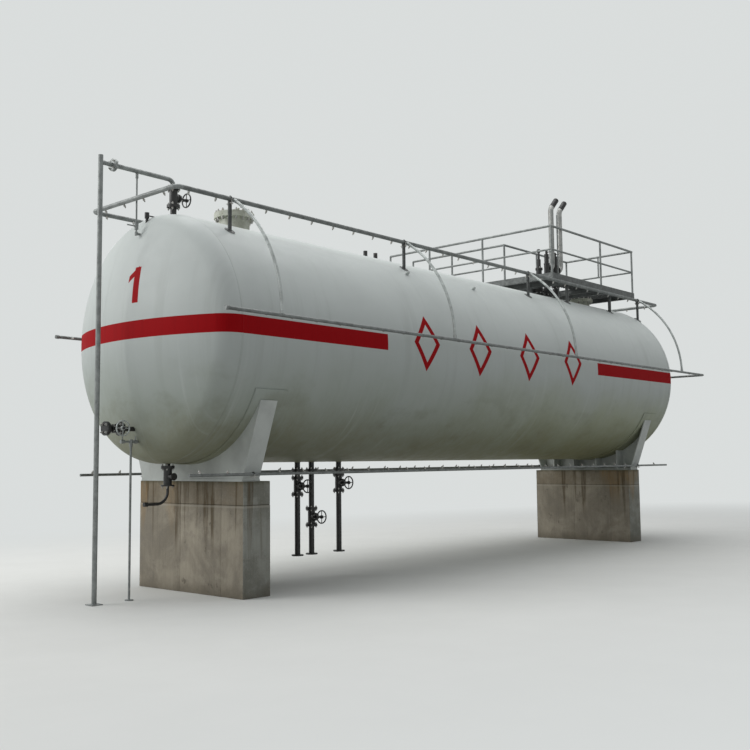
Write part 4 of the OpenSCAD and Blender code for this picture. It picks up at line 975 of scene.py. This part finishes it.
class TANK_OT_grating_bars(bpy.types.Operator):
    """Fills the walkway gratings with their thin bars and cross rods."""
    bl_idname = "tank.grating_bars"
    bl_label = "Grating bars"

    def execute(self, context):
        rim, edge, pitch, rod_pitch = 0.010, 0.0073, 0.078, 0.10
        bar_half, bar_z = 0.002, (DECK_TOP - 0.029, DECK_TOP - 0.008)
        rod_half, rod_z = 0.003, (DECK_TOP - 0.013, DECK_TOP - 0.0075)
        well, well_half = (UPRIGHT_VALVE - 0.13, STACKS[1] + 0.13), 0.165
        platform = (DECK_FRONT + edge, DECK_REAR - edge, DECK_NEAR + edge, DECK_FAR - edge, True)
        catwalk = (DECK_FRONT + edge, DECK_FRONT + CATWALK_WIDTH - edge, DECK_FAR + edge,
                   CATWALK_END - edge, False)
        bm = bmesh.new()
        for x0, x1, y0, y1, pierced in (platform, catwalk):
            count = int((x1 - x0 - rim) / pitch)
            step = (x1 - x0 - rim) / count
            for i in range(count):
                x = x0 + rim + i * step + (step - rim) / 2
                holed = pierced and well[0] - 0.01 < x < well[1] + 0.01
                for near, far in ((y0, -well_half), (well_half, y1)) if holed else ((y0, y1),):
                    plank(bm, (x - bar_half, x + bar_half), (near + rim, far - rim), bar_z)
            for y in steps(y0 + 0.10, y1 - 0.08, rod_pitch):
                holed = pierced and abs(y) < well_half
                for left, right in ((x0, well[0] - 0.004), (well[1] + 0.004, x1)) if holed else ((x0, x1),):
                    plank(bm, (left + rim / 2, right - rim / 2), (y - rod_half, y + rod_half), rod_z)
        keep("grating_bars", bm, "dark zinc")
        return {"FINISHED"}


def direct_rays(tree):
    """1 for rays of the camera, of gloss and of glass, and 0 for light that is thrown on."""
    path = tree.nodes.new("ShaderNodeLightPath")
    share = path.outputs["Is Camera Ray"]
    for kind in ("Is Glossy Ray", "Is Transmission Ray"):
        node = tree.nodes.new("ShaderNodeMath")
        node.operation = "MAXIMUM"
        tree.links.new(share, node.inputs[0])
        tree.links.new(path.outputs[kind], node.inputs[1])
        share = node.outputs[0]
    return share


def mixed(tree, share, plain, other, output):
    """Ends a node tree in a mix of two shaders."""
    mix = tree.nodes.new("ShaderNodeMixShader")
    for socket, value in zip(mix.inputs, (share, plain, other)):
        tree.links.new(value, socket)
    tree.links.new(mix.outputs[0], tree.nodes[output].inputs["Surface"])


def floor_finish():
    """Matt pale ground that fades into the backdrop far away and keeps its shadow."""
    f = Finish("pale floor", roughness=0.95, specular=0.1)
    along, across = f.times(f.x, 0.45), f.y
    far = f.maths("SQRT", f.plus(f.times(along, along), f.times(across, across)))
    grain = f.blend(f.spread(f.noise(1.3, 5.0, 0.6), 0.3, 0.7), FLOOR_DULL, FLOOR_PALE)
    glow = f.tree.nodes.new("ShaderNodeEmission")
    f.put(glow.inputs["Color"], BACKDROP)
    seen = direct_rays(f.tree)
    f.colour(f.blend(seen, FLOOR_THROWN, grain))
    fade = f.times(f.spread(far, 3.6, 11.0), seen)
    mixed(f.tree, fade, f.shader.outputs[0], glow.outputs[0], "Material Output")
    return f.material


def lay_floor(scene):
    mesh = bpy.data.meshes.new("floor")
    bm = bmesh.new()
    bmesh.ops.create_circle(bm, cap_ends=True, segments=96, radius=240.0)
    bm.to_mesh(mesh)
    bm.free()
    floor = bpy.data.objects.new("floor", mesh)
    scene.collection.objects.link(floor)
    mesh.materials.append(floor_finish())


def hang_sky(scene):
    """A soft sky that gives its light, and shows as the backdrop."""
    world = bpy.data.worlds.new("soft sky")
    scene.world = world
    world.use_nodes = True
    tree = world.node_tree
    sky, backdrop = tree.nodes["Background"], tree.nodes.new("ShaderNodeBackground")
    for node, tone, strength in ((sky, SKY_TINT, 0.40), (backdrop, BACKDROP, 1.0)):
        node.inputs["Color"].default_value = (*tone, 1.0)
        node.inputs["Strength"].default_value = strength
    mixed(tree, direct_rays(tree), sky.outputs[0], backdrop.outputs[0], "World Output")


def hang_lamps(scene):
    """Two wide soft lamps aimed at the tank's middle."""
    for name, place, size, power in (("head light", (-16.0, 8.0, 11.0), 11.0, 1330.0),
                                     ("top light", (1.0, 1.5, 20.0), 18.0, 2150.0)):
        data = bpy.data.lights.new(name, "AREA")
        data.size = size
        data.energy = power
        lamp = bpy.data.objects.new(name, data)
        scene.collection.objects.link(lamp)
        lamp.location = place
        aim = Vector((0.0, 0.0, 2.5)) - Vector(place)
        lamp.rotation_euler = aim.to_track_quat("-Z", "Y").to_euler()


def set_camera(scene):
    """The camera where the photograph was taken, by its place, turn and focal length."""
    place = at(-7.016, -9.741, -1.506)
    yaw, pitch, roll = 0.728, 0.088, -0.010
    focal, picture, sensor = 966.4, 750, 36.0
    data = bpy.data.cameras.new("camera")
    data.sensor_width = sensor
    data.lens = focal / picture * sensor
    data.clip_end = 600
    camera = bpy.data.objects.new("camera", data)
    scene.collection.objects.link(camera)
    ahead = Vector((math.cos(yaw) * math.cos(pitch), math.sin(yaw) * math.cos(pitch), math.sin(pitch)))
    right = Vector((math.sin(yaw), -math.cos(yaw), 0.0))
    up = right.cross(ahead)
    tilted = right * math.cos(roll) + up * math.sin(roll)
    up = up * math.cos(roll) - right * math.sin(roll)
    turn = Matrix((tilted, up, -ahead)).transposed()
    camera.matrix_world = Matrix.Translation(place) @ turn.to_4x4()
    scene.camera = camera


class TANK_OT_stage(bpy.types.Operator):
    """Makes the floor, the soft lights and the camera."""
    bl_idname = "tank.stage"
    bl_label = "Stage"

    def execute(self, context):
        scene = context.scene
        lay_floor(scene)
        hang_sky(scene)
        hang_lamps(scene)
        set_camera(scene)
        scene.view_settings.view_transform = "Standard"
        return {"FINISHED"}


class TANK_PT_panel(bpy.types.Panel):
    """Lists the steps that dress the tank."""
    bl_idname = "TANK_PT_panel"
    bl_label = "Pressure tank"
    bl_space_type = "VIEW_3D"
    bl_region_type = "UI"
    bl_category = "Tank"

    def draw(self, context):
        for step in STEPS:
            self.layout.operator(step.bl_idname)


STEPS = (TANK_OT_stage, TANK_OT_finishes, TANK_OT_plate, TANK_OT_welds, TANK_OT_piers, TANK_OT_anchors,
         TANK_OT_cover_bolts, TANK_OT_flange_bolts, TANK_OT_spray_tips, TANK_OT_clamps, TANK_OT_collars,
         TANK_OT_lugs, TANK_OT_grating_bars)
CLASSES = (TankPaint, TankSizes) + STEPS + (TANK_PT_panel,)


def register():
    for item in CLASSES:
        bpy.utils.register_class(item)
    bpy.types.Scene.tank_paint = PointerProperty(type=TankPaint)
    bpy.types.Scene.tank_sizes = PointerProperty(type=TankSizes)


def unregister():
    del bpy.types.Scene.tank_sizes
    del bpy.types.Scene.tank_paint
    for item in reversed(CLASSES):
        bpy.utils.unregister_class(item)


def main():
    register()
    bpy.ops.tank.stage()
    bpy.ops.tank.finishes()
    bpy.ops.tank.plate()
    bpy.ops.tank.welds()
    bpy.ops.tank.piers()
    bpy.ops.tank.anchors()
    bpy.ops.tank.cover_bolts()
    bpy.ops.tank.flange_bolts()
    bpy.ops.tank.spray_tips()
    bpy.ops.tank.clamps()
    bpy.ops.tank.collars()
    bpy.ops.tank.lugs()
    bpy.ops.tank.grating_bars()


if __name__ == "__main__":
    main()
